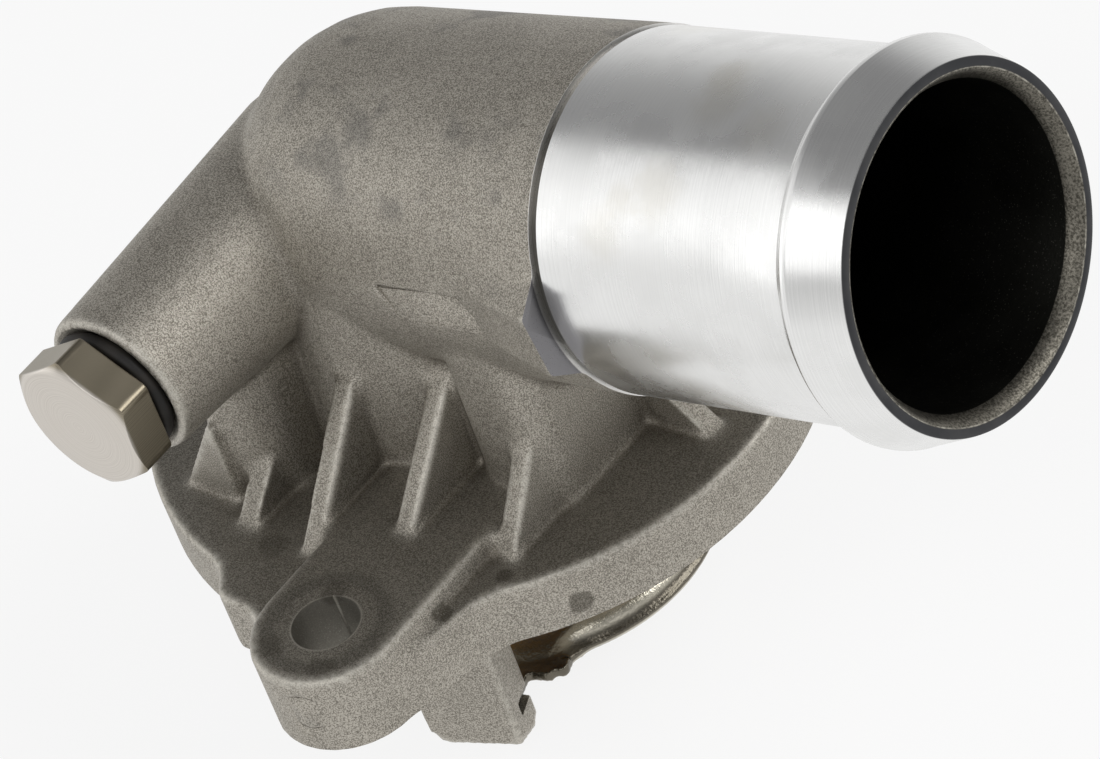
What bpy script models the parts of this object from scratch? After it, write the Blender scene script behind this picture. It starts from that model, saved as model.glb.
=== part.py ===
"""Die-cast coolant outlet housing with a wax-actuated valve held under its flange.

The origin is the centre of the bolted flange face, +Z points up the tower, and
+X is the direction of the hose neck. Lengths are metres.
"""

import math

import bmesh
import bpy
from mathutils import Matrix, Vector

MM = 0.001
DEG = math.pi / 180

# Clearances between neighbouring pieces
GAP = 0.3 * MM
OVERLAP = 2.0 * MM

# Flange
FLANGE_RADIUS = 35.4 * MM
FLANGE_THICKNESS = 7.0 * MM
FLANGE_EDGE_RADIUS = 0.7 * MM
# The webs stand this little over the flange, so that no two faces lie in one plane
WEB_STEP = 0.05 * MM
# What the facing cut takes off under the flange
MACHINING = 1.0 * MM

# Ears: two bolt ears opposite each other, each with a raised pad
EAR_X = 11.5 * MM
EAR_HOLE_Y = 38.4 * MM
EAR_RADIUS = 8.0 * MM
EAR_TOP = 9.5 * MM
BOLT_HOLE_RADIUS = 3.5 * MM

# Tower over the flange, and the elbow's ball that closes it
ELBOW_RADIUS = 17.1 * MM
ELBOW_WALL = 2.5 * MM
TOWER_TOP_RADIUS = ELBOW_RADIUS - WEB_STEP
TOWER_BASE_RADIUS = TOWER_TOP_RADIUS + 1.55 * MM
TOWER_FILLET = 1.5 * MM
CHAMBER_MOUTH_RADIUS = 15.6 * MM
SEAT_CHAMFER = 0.8 * MM
# The chamber's top is this much narrower than the bore's ball, so the two never graze
CHAMBER_STEP = 0.6 * MM

# Elbow and hose neck
NECK_TILT = 10.9 * DEG
ELBOW_HEIGHT = 30.96 * MM
NECK_STEP = 34.4 * MM
NECK_CAST_RADIUS = 17.65 * MM
NECK_RADIUS = 17.5 * MM
NECK_BORE_RADIUS = 15.0 * MM
RELIEF_WIDTH = 0.5 * MM
RELIEF_DEPTH = 0.3 * MM
BEAD_START = 65.0 * MM
BEAD_CREST = 66.8 * MM
BEAD_RADIUS = 18.8 * MM
BEAD_FLAT = 0.4 * MM
NECK_END = 72.5 * MM
NECK_END_RADIUS = 17.2 * MM
NECK_END_BEVEL = 0.25 * MM
NECK_MOUTH_RADIUS = 16.05 * MM
NECK_MOUTH_DEPTH = 1.6 * MM

# Parting lug at the step and blank recess on the side of the neck
LUG_REACH = 20.2 * MM
LUG_HALF_HEIGHT = 3.4 * MM
LUG_ROOT_HALF_HEIGHT = 6.4 * MM
LUG_ROOT_REACH = 16.0 * MM
LUG_LENGTH = 10.4 * MM
RECESS_START = 11.1 * MM
RECESS_END = 23.9 * MM
RECESS_TOP = 2.3 * MM
RECESS_BOTTOM = 1.9 * MM
RECESS_DEPTH = 0.4 * MM
RECESS_CORNER = 1.2 * MM

# Plug boss on the side of the elbow, with the plug and its ring
BOSS_X = -10.5 * MM
BOSS_Z = 30.3 * MM
BOSS_RIM_Y = 34.75 * MM
BOSS_ROOT_Y = 2.0 * MM
BOSS_ROOT_RADIUS = 9.94 * MM
BOSS_RIM_RADIUS = 8.3 * MM
BOSS_RIM_BEVEL = 0.5 * MM
PLUG_ACROSS_FLATS = 14.0 * MM
PLUG_HEAD_GAP = 1.45 * MM
PLUG_HEAD_HEIGHT = 4.5 * MM
PLUG_SHANK_RADIUS = 5.0 * MM
PLUG_SHANK_LENGTH = 10.5 * MM
BLEED_PASSAGE_RADIUS = 3.0 * MM
RING_SECTION_RADIUS = 0.85 * MM

# Pillars and ribs between flange, tower, boss and neck
BLOCK_LEFT = 13.0 * MM
BLOCK_RIGHT = 23.4 * MM
BLOCK_HALF_WIDTH = 16.1 * MM
BLOCK_CORNER = 3.6 * MM
BLOCK_TOP = 30.0 * MM
COLUMN_X = -10.2 * MM
COLUMN_Y = -20.6 * MM
COLUMN_RADIUS = 5.2 * MM
RIB_THICKNESS = 2.4 * MM
RIB_COLUMN_X = -7.2 * MM
RIB_TOWER_X = 1.9 * MM
RIB_PAD_X = 11.4 * MM
RIB_BLOCK_X = BLOCK_RIGHT - 2.1 * MM
RIB_SIDE_Y = COLUMN_Y - 5.2 * MM

# Hook legs under the flange, and the groove for its seal
LEG_ANGLE = -69.0 * DEG
LEG_INNER = 22.8 * MM
LEG_OUTER = 27.8 * MM
LEG_HALF_WIDTH = 5.0 * MM
LEG_LENGTH = 21.7 * MM
LEG_NOSE = 1.3 * MM
LEG_NOSE_RADIUS = 1.4 * MM
LEG_CORNER = 4.5 * MM
SLOT_DEPTH = 2.9 * MM
SEAL_GROOVE_RADIUS = 31.3 * MM
SEAL_GROOVE_WIDTH = 2.6 * MM
SEAL_GROOVE_DEPTH = 2.0 * MM
SEAL_STAND = 0.5 * MM

# Crossbar in the chamber, whose socket holds the piston
CROSSBAR_BOTTOM = 19.0 * MM
CROSSBAR_TOP = 25.0 * MM
CROSSBAR_WIDTH = 6.0 * MM
SOCKET_RADIUS = 4.6 * MM
SOCKET_BOTTOM = 16.5 * MM
SOCKET_DEPTH = 7.5 * MM

# Wax element
PISTON_RADIUS = 2.0 * MM
PISTON_LENGTH = 38.0 * MM
CUP_RADIUS = 6.2 * MM
CUP_WALL = 1.0 * MM
CUP_BOTTOM = -25.0 * MM
CUP_COLLAR_RADIUS = 8.2 * MM
CUP_COLLAR_THICKNESS = 1.5 * MM
BOOT_WALL = 1.0 * MM
BOOT_FLANGE = 0.9 * MM
WASHER_THICKNESS = 0.5 * MM
COVER_TOP_RADIUS = 3.8 * MM
COVER_HEIGHT = 7.5 * MM
COVER_RIM = 1.5 * MM

# Valve plate with its seal, and the spring under it
SEAL_THICKNESS = 1.0 * MM
SEAL_RADIUS = 18.2 * MM
SEAL_INNER_RADIUS = 13.4 * MM
PLATE_THICKNESS = 1.0 * MM
PLATE_RADIUS = 17.0 * MM
PLATE_SKIRT = 3.0 * MM
SPRING_RADIUS = 12.5 * MM
SPRING_WIRE_RADIUS = 1.1 * MM
SPRING_TURNS = 3.5
SPRING_FLAT_TURNS = 0.6

# Bridge that carries the spring: a stamped dish with a rolled rim, a flared brim and two tabs
SHEET = 1.2 * MM
# The tabs lie in the legs' slots, this high over the legs' ends
TAB_HEIGHT = 3.7 * MM
ARM_TOP = TAB_HEIGHT - LEG_LENGTH
DISH_FLOOR = ARM_TOP - 3.2 * MM
DISH_HOLE_RADIUS = CUP_RADIUS + 1.3 * GAP
DISH_WALL = SPRING_RADIUS + SPRING_WIRE_RADIUS + 1.5 * GAP
DISH_BEND = 0.8 * MM
ROLL_RADIUS = 2.4 * MM
ROLL_MIDDLE = DISH_WALL + ROLL_RADIUS
ROLL_RISE = 2.3 * MM
ROLL_END = 20.0 * DEG
FLARE_RADIUS = 0.9 * MM
BRIM_SLOPE = 30.0 * DEG
BRIM_WIDTH = 0.5 * MM
ARM_REACH = ROLL_MIDDLE + ROLL_RADIUS + 2.45 * MM
ARM_HALF_WIDTH = 8.7 * MM
ARM_CORNER = 1.4 * MM
ARM_GAP_TOP = 6.0 * MM
ARM_GAP_BOTTOM = 3.5 * MM
TAB_REACH = LEG_INNER + SLOT_DEPTH - GAP
TAB_HALF_WIDTH = 4.5 * MM
WINDOW_INNER = 7.9 * MM
WINDOW_OUTER = 11.0 * MM
WINDOW_SPAN = 58.0 * DEG
WINDOW_COUNT = 4

# Facets round a turned piece
FINE = 56
MEDIUM = 40
COARSE = 28

# Colour, roughness and metallic value of each material
FINISHES = {
    "cast_aluminium": ((0.40, 0.39, 0.37), 0.55, 0.9),
    "bright_nickel": ((0.66, 0.63, 0.58), 0.25, 1.0),
    "stamped_steel": ((0.56, 0.55, 0.52), 0.28, 1.0),
    "ground_steel": ((0.60, 0.60, 0.60), 0.20, 1.0),
    "spring_steel": ((0.38, 0.37, 0.36), 0.35, 1.0),
    "brass": ((0.62, 0.38, 0.12), 0.32, 1.0),
    "black_rubber": ((0.012, 0.012, 0.012), 0.65, 0.0),
    "ptfe": ((0.75, 0.74, 0.70), 0.50, 0.0),
    "wax": ((0.55, 0.40, 0.22), 0.70, 0.0),
}


# Middle of the plug's ring: its radius, and its height over the boss's rim
RING_RADIUS = PLUG_SHANK_RADIUS + GAP + RING_SECTION_RADIUS
RING_HEIGHT = PLUG_HEAD_GAP - GAP - RING_SECTION_RADIUS


def clear_scene():
    for obj in list(bpy.data.objects):
        bpy.data.objects.remove(obj)
    for group in list(bpy.data.collections):
        bpy.data.collections.remove(group)


def collection(name, parent=None):
    group = bpy.data.collections.new(name)
    (parent or bpy.context.scene.collection).children.link(group)
    return group


def material(name):
    found = bpy.data.materials.get(name)
    if found:
        return found
    colour, roughness, metallic = FINISHES[name]
    made = bpy.data.materials.new(name)
    made.use_nodes = True
    shader = made.node_tree.nodes["Principled BSDF"]
    shader.inputs["Base Color"].default_value = (*colour, 1)
    shader.inputs["Roughness"].default_value = roughness
    shader.inputs["Metallic"].default_value = metallic
    made.diffuse_color = (*colour, 1)
    return made


def object_from(name, bm, group, place=None):
    """An object in the collection, made from the mesh being edited."""
    mesh = bpy.data.meshes.new(name)
    bm.to_mesh(mesh)
    bm.free()
    obj = bpy.data.objects.new(name, mesh)
    obj.matrix_world = place or Matrix()
    group.objects.link(obj)
    return obj


def finish(obj, slot):
    """A real piece: its material, smooth shading and sharp edges."""
    obj.data.materials.append(material(slot))
    obj.data.shade_smooth()
    obj.data.set_sharp_from_angle(angle=30 * DEG)
    return obj


def as_tool(group):
    """The shapes in this collection only cut or join, so they stay out of the render."""
    group.hide_render = True
    for obj in group.objects:
        obj.hide_render = True
        obj.display_type = "WIRE"


def arc(centre_r, centre_z, radius, start, end, steps):
    """Points along an arc of a turned profile, by angles from +R towards +Z."""
    angles = [start + (end - start) * i / steps for i in range(steps + 1)]
    return [(centre_r + radius * math.cos(a), centre_z + radius * math.sin(a)) for a in angles]


def turned(name, profile, group, facets, place=None, closed=False):
    """A profile of (radius, height) points turned about Z, outer side from top to bottom."""
    bm = bmesh.new()
    verts = [bm.verts.new((r, 0, z)) for r, z in profile]
    for a, b in zip(verts, verts[1:]):
        bm.edges.new((a, b))
    if closed:
        bm.edges.new((verts[-1], verts[0]))
    obj = object_from(name, bm, group, place)
    screw = obj.modifiers.new("turn", "SCREW")
    screw.axis = "Z"
    screw.angle = math.tau
    screw.steps = screw.render_steps = facets
    screw.use_merge_vertices = True
    screw.merge_threshold = 0.00002
    screw.use_smooth_shade = True
    return obj


def cylinder(name, radius, low, high, group, facets, place=None):
    bm = bmesh.new()
    shift = Matrix.Translation((0, 0, (low + high) / 2))
    bmesh.ops.create_cone(
        bm, cap_ends=True, segments=facets, radius1=radius, radius2=radius, depth=high - low, matrix=shift
    )
    return object_from(name, bm, group, place)


def box(name, low, high, group, place=None):
    bm = bmesh.new()
    size = Vector(high) - Vector(low)
    middle = (Vector(high) + Vector(low)) / 2
    shape = Matrix.Translation(middle) @ Matrix.Diagonal((*size, 1))
    bmesh.ops.create_cube(bm, size=1, matrix=shape)
    return object_from(name, bm, group, place)


def plate(name, outline, low, high, group, place=None):
    """A flat outline given thickness along its own Z, as a mesh."""
    curve = bpy.data.curves.new(name, "CURVE")
    curve.dimensions = "2D"
    curve.fill_mode = "BOTH"
    curve.extrude = (high - low) / 2
    spline = curve.splines.new("POLY")
    spline.points.add(len(outline) - 1)
    for point, (x, y) in zip(spline.points, outline):
        point.co = (x, y, 0, 1)
    spline.use_cyclic_u = True
    guide = bpy.data.objects.new(name + "_outline", curve)
    group.objects.link(guide)
    bm = bmesh.new()
    depsgraph = bpy.context.evaluated_depsgraph_get()
    mesh = bpy.data.meshes.new_from_object(guide.evaluated_get(depsgraph))
    bm.from_mesh(mesh)
    bmesh.ops.remove_doubles(bm, verts=bm.verts, dist=0.000005)
    bmesh.ops.translate(bm, verts=bm.verts, vec=(0, 0, (low + high) / 2))
    bmesh.ops.recalc_face_normals(bm, faces=bm.faces)
    bpy.data.meshes.remove(mesh)
    bpy.data.objects.remove(guide)
    return object_from(name, bm, group, place)


def round_rim(obj, height, width, segments):
    """Rounds the edges that lie at this height of the object's own Z."""
    bm = bmesh.new()
    bm.from_mesh(obj.data)
    bmesh.ops.dissolve_limit(bm, angle_limit=1 * DEG, verts=bm.verts, edges=bm.edges)
    flat = 0.01 * MM
    rim = [e for e in bm.edges if all(abs(v.co.z - height) < flat for v in e.verts)]
    bmesh.ops.bevel(bm, geom=rim, offset=width, segments=segments, profile=0.5, affect="EDGES")
    bm.to_mesh(obj.data)
    bm.free()


def boolean(obj, operation, group):
    """Joins or cuts the object with each shape of the collection in turn."""
    for tool in group.objects:
        step = obj.modifiers.new(tool.name, "BOOLEAN")
        step.operation = operation
        step.object = tool
        step.solver = "EXACT"


def round_end(centre, radius, start, end, steps):
    """Outline points round one end of a plate."""
    angles = [start + (end - start) * i / steps for i in range(steps + 1)]
    return [(centre[0] + radius * math.cos(a), centre[1] + radius * math.sin(a)) for a in angles]


# The neck's own frame: Z runs out along its axis from the elbow's centre, -X is its upper side
NECK = Matrix.Translation((0, 0, ELBOW_HEIGHT)) @ Matrix.Rotation(90 * DEG - NECK_TILT, 4, "Y")
# The boss's own frame: Z runs out along its axis towards -Y
BOSS = Matrix.Translation((BOSS_X, 0, BOSS_Z)) @ Matrix.Rotation(90 * DEG, 4, "X")
# Plates whose outline lies in a plane along Y or along X, standing up from the flange
ALONG_Y = Matrix(((0, 0, 1, 0), (1, 0, 0, 0), (0, 1, 0, 0), (0, 0, 0, 1)))
ALONG_X = Matrix.Rotation(90 * DEG, 4, "X")
HALF_TURN = Matrix.Rotation(math.pi, 4, "Z")
LEG_FRAMES = [Matrix.Rotation(LEG_ANGLE, 4, "Z"), Matrix.Rotation(LEG_ANGLE + math.pi, 4, "Z")]


def bead_profile():
    """The hose bead: a soft flare up to the crest, and a straight taper to the mouth."""
    rise = BEAD_RADIUS - NECK_RADIUS
    flare = [i / 5 for i in range(6)]
    up = [
        (NECK_RADIUS + rise * (1 - math.cos(math.pi * f)) / 2, BEAD_START + (BEAD_CREST - BEAD_START) * f)
        for f in flare
    ]
    flat = (BEAD_RADIUS, BEAD_CREST + BEAD_FLAT)
    return up + [flat]


def neck_outline():
    """Elbow ball, cast neck, relief, turned neck and bead as one profile, from the mouth down."""
    edge = NECK_END_RADIUS - NECK_END_BEVEL
    mouth = [(0, NECK_END), (edge, NECK_END), (NECK_END_RADIUS, NECK_END - NECK_END_BEVEL)]
    relief_end = NECK_STEP + RELIEF_WIDTH
    step = [
        (NECK_RADIUS, relief_end + RELIEF_DEPTH),
        (NECK_RADIUS - RELIEF_DEPTH, relief_end),
        (NECK_RADIUS - RELIEF_DEPTH, NECK_STEP),
        (NECK_CAST_RADIUS, NECK_STEP),
    ]
    ball = arc(0, 0, ELBOW_RADIUS, 0, -90 * DEG, 10)
    return mouth + bead_profile()[::-1] + step + ball[:-1] + [(0, -ELBOW_RADIUS)]


def bore_outline():
    """The way through: a ball in the elbow, the neck's bore and its chamfered mouth."""
    ball_radius = ELBOW_RADIUS - ELBOW_WALL
    ball = arc(0, 0, ball_radius, 0, -90 * DEG, 8)
    flare = (NECK_MOUTH_RADIUS - NECK_BORE_RADIUS) / NECK_MOUTH_DEPTH
    outside = NECK_MOUTH_RADIUS + flare * OVERLAP
    return [
        (0, NECK_END + OVERLAP),
        (outside, NECK_END + OVERLAP),
        (NECK_BORE_RADIUS, NECK_END - NECK_MOUTH_DEPTH),
        (NECK_BORE_RADIUS, NECK_STEP),
        *ball[:-1],
        (0, -ball_radius),
    ]


def tower_outline():
    foot = TOWER_BASE_RADIUS + TOWER_FILLET
    fillet = arc(foot, FLANGE_THICKNESS + TOWER_FILLET, TOWER_FILLET, 180 * DEG, 270 * DEG, 4)
    return [(0, ELBOW_HEIGHT), (TOWER_TOP_RADIUS, ELBOW_HEIGHT), *fillet, (foot, OVERLAP), (0, OVERLAP)]


def boss_outline():
    rim = BOSS_RIM_RADIUS
    dome = arc(0, BOSS_ROOT_Y, BOSS_ROOT_RADIUS, 0, -90 * DEG, 8)
    return [
        (0, BOSS_RIM_Y),
        (rim - BOSS_RIM_BEVEL, BOSS_RIM_Y),
        (rim, BOSS_RIM_Y - BOSS_RIM_BEVEL),
        *dome[:-1],
        (0, BOSS_ROOT_Y - BOSS_ROOT_RADIUS),
    ]


def boss_bore_outline():
    """Countersink for the ring, hole for the plug and the bleed passage into the elbow."""
    hole = PLUG_SHANK_RADIUS + GAP
    # The ring rests in a 45 degree countersink
    sink = RING_RADIUS - RING_HEIGHT + (RING_SECTION_RADIUS + GAP) * math.sqrt(2)
    bottom = BOSS_RIM_Y + PLUG_HEAD_GAP - PLUG_SHANK_LENGTH - OVERLAP
    inside = (ELBOW_RADIUS - ELBOW_WALL) / 2
    return [
        (0, BOSS_RIM_Y + OVERLAP),
        (sink + OVERLAP, BOSS_RIM_Y + OVERLAP),
        (hole, BOSS_RIM_Y - (sink - hole)),
        (hole, bottom),
        (BLEED_PASSAGE_RADIUS, bottom - (hole - BLEED_PASSAGE_RADIUS)),
        (BLEED_PASSAGE_RADIUS, inside),
        (0, inside),
    ]


def ear_outline():
    """The raised pad: straight sides from inside the tower to the round end about the bolt."""
    end = round_end((EAR_X, -EAR_HOLE_Y), EAR_RADIUS, math.pi, math.tau, 14)
    inner = -TOWER_TOP_RADIUS / 2
    return [(EAR_X - EAR_RADIUS, inner), *end, (EAR_X + EAR_RADIUS, inner)]


def side_web_outline():
    """The plain web that sweeps from the flange to the right side of the ear."""
    right = EAR_X + EAR_RADIUS
    return [
        (right - OVERLAP, -EAR_HOLE_Y - 1.6 * MM),
        (right - 0.4 * MM, -EAR_HOLE_Y - 1.6 * MM),
        (right + 0.5 * MM, -37.3 * MM),
        (right + 1.25 * MM, -33.8 * MM),
        (right + 2.2 * MM, -29.4 * MM),
        (right + 3.8 * MM, -26.7 * MM),
        (right + 5.9 * MM, -24.3 * MM),
        (right - OVERLAP, -22.0 * MM),
    ]


def side_lug_outline():
    """The short lug in the corner between the flange and the left side of the ear."""
    left = EAR_X - EAR_RADIUS
    return [
        (left + OVERLAP, -30.0 * MM),
        (left - 11.9 * MM, -33.0 * MM),
        (left - 11.4 * MM, -34.6 * MM),
        (left - 10.0 * MM, -35.3 * MM),
        (left - 9.0 * MM, -36.5 * MM),
        (left - 8.0 * MM, -37.8 * MM),
        (left - 6.7 * MM, -38.45 * MM),
        (left - 3.5 * MM, -38.5 * MM),
        (left - 2.0 * MM, -39.3 * MM),
        (left + OVERLAP, -40.5 * MM),
    ]


def rib(name, outline, middle, group, frame, turn=None):
    """A rib of standard thickness: outline of (reach, height) points, standing in its plane."""
    half = RIB_THICKNESS / 2
    place = (turn or Matrix()) @ frame
    return plate(name, outline, middle - half, middle + half, group, place)


def slope(high, foot, inner):
    """A rib's side view, from its high end on the wall to its foot on the flange."""
    root = FLANGE_THICKNESS / 2
    return [(inner, root), (foot[0], root), foot, high, (inner, high[1])]


def add_ribs(group):
    """Each rib by its high point and its foot, both (reach, height)."""
    top = FLANGE_THICKNESS
    pad = EAR_TOP
    rib_column = slope((-24.7 * MM, 12.0 * MM), (-30.0 * MM, top), COLUMN_Y)
    rib_tower = slope((-18.4 * MM, 20.5 * MM), (-30.6 * MM, top), -13 * MM)
    rib_pad = slope((-13.5 * MM, 22.0 * MM), (-26.0 * MM, pad), -9 * MM)
    rib_block = slope((-15.7 * MM, 16.6 * MM), (-23.0 * MM, top), -12 * MM)
    rib("rib_column", rib_column, RIB_COLUMN_X, group, ALONG_Y)
    rib("rib_tower", rib_tower, RIB_TOWER_X, group, ALONG_Y)
    rib("rib_pad", rib_pad, RIB_PAD_X, group, ALONG_Y)
    rib("rib_block", rib_block, RIB_BLOCK_X, group, ALONG_Y)
    rib("rib_tower_rear", rib_tower, RIB_TOWER_X, group, ALONG_Y, HALF_TURN)
    rib("rib_pad_rear", rib_pad, RIB_PAD_X, group, ALONG_Y, HALF_TURN)
    rib("rib_block_rear", rib_block, -RIB_BLOCK_X, group, ALONG_Y, HALF_TURN)
    rib_side = slope((-11.0 * MM, 17.3 * MM), (-17.7 * MM, top), COLUMN_X)
    rib("rib_side", rib_side, -RIB_SIDE_Y, group, ALONG_X)
    rib_neck = slope((BLOCK_RIGHT - 0.2 * MM, 15.8 * MM), (31.5 * MM, top), 19 * MM)
    rib("rib_neck", rib_neck, 0, group, ALONG_X)


def add_pillars(group):
    """The block under the neck and the column under the plug boss."""
    r = BLOCK_CORNER
    corners = [
        ((BLOCK_RIGHT - r, BLOCK_HALF_WIDTH - r), 0),
        ((BLOCK_LEFT + r, BLOCK_HALF_WIDTH - r), 90 * DEG),
        ((BLOCK_LEFT + r, -BLOCK_HALF_WIDTH + r), 180 * DEG),
        ((BLOCK_RIGHT - r, -BLOCK_HALF_WIDTH + r), 270 * DEG),
    ]
    outline = []
    for centre, start in corners:
        outline += round_end(centre, r, start, start + 90 * DEG, 5)
    root = FLANGE_THICKNESS / 2
    plate("block", outline, root, BLOCK_TOP, group)
    front = round_end((COLUMN_X, COLUMN_Y), COLUMN_RADIUS, math.pi, math.tau, 12)
    inner = -TOWER_TOP_RADIUS / 2
    column = [(COLUMN_X - COLUMN_RADIUS, inner), *front, (COLUMN_X + COLUMN_RADIUS, inner)]
    plate("column", column, root, BOSS_Z, group)


def leg_foot():
    """What is cut away under a leg: its foot slopes down to a rounded nose on the inner side."""
    nose = LEG_INNER + LEG_NOSE_RADIUS
    low = -LEG_LENGTH - LEG_NOSE
    below = low - OVERLAP
    return [
        (LEG_OUTER, -LEG_LENGTH),
        *round_end((nose, low + LEG_NOSE_RADIUS), LEG_NOSE_RADIUS, 270 * DEG, 180 * DEG, 5),
        (LEG_INNER - OVERLAP, low + LEG_NOSE_RADIUS),
        (LEG_INNER - OVERLAP, below),
        (LEG_OUTER + OVERLAP, below),
        (LEG_OUTER + OVERLAP, -LEG_LENGTH),
    ]


def add_legs(group):
    """The two hook legs: one bottom corner is round, the other square."""
    w = LEG_HALF_WIDTH
    low = -LEG_LENGTH - LEG_NOSE
    corner = round_end((-w + LEG_CORNER, low + LEG_CORNER), LEG_CORNER, 180 * DEG, 270 * DEG, 6)
    face = [(-w, OVERLAP), *corner, (w, low), (w, OVERLAP)]
    for number, frame in enumerate(LEG_FRAMES):
        place = frame @ ALONG_Y
        plate(f"leg_{number}", face, LEG_INNER, LEG_OUTER, group, place)


def add_parting_lug(group):
    """A wedge on the neck's side that grows towards the step and ends in a flat face there."""
    outline = [
        (LUG_ROOT_HALF_HEIGHT, -LUG_ROOT_REACH),
        (-LUG_ROOT_HALF_HEIGHT, -LUG_ROOT_REACH),
        (-LUG_HALF_HEIGHT, -LUG_REACH),
        (LUG_HALF_HEIGHT, -LUG_REACH),
    ]
    lug = plate("parting_lug", outline, NECK_STEP - LUG_LENGTH, NECK_STEP, group, NECK)
    middle = NECK_STEP - LUG_LENGTH / 2
    for vert in lug.data.vertices:
        if vert.co.z < middle:
            vert.co.y += LUG_REACH - NECK_CAST_RADIUS + GAP


def add_crossbar(group):
    """A bar across the chamber, sharpened upstream, with the piston's socket in its middle."""
    half = CROSSBAR_WIDTH / 2
    middle = (CROSSBAR_BOTTOM + CROSSBAR_TOP) / 2
    section = [
        (-half, middle),
        (-half / 2, CROSSBAR_BOTTOM),
        (half / 2, CROSSBAR_BOTTOM),
        (half, middle),
        (half / 2, CROSSBAR_TOP),
        (-half / 2, CROSSBAR_TOP),
    ]
    reach = CHAMBER_MOUTH_RADIUS + 0.4 * MM
    plate("crossbar", section, -reach, reach, group, ALONG_X)
    cylinder("socket", SOCKET_RADIUS, SOCKET_BOTTOM, CROSSBAR_TOP, group, COARSE)


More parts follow.
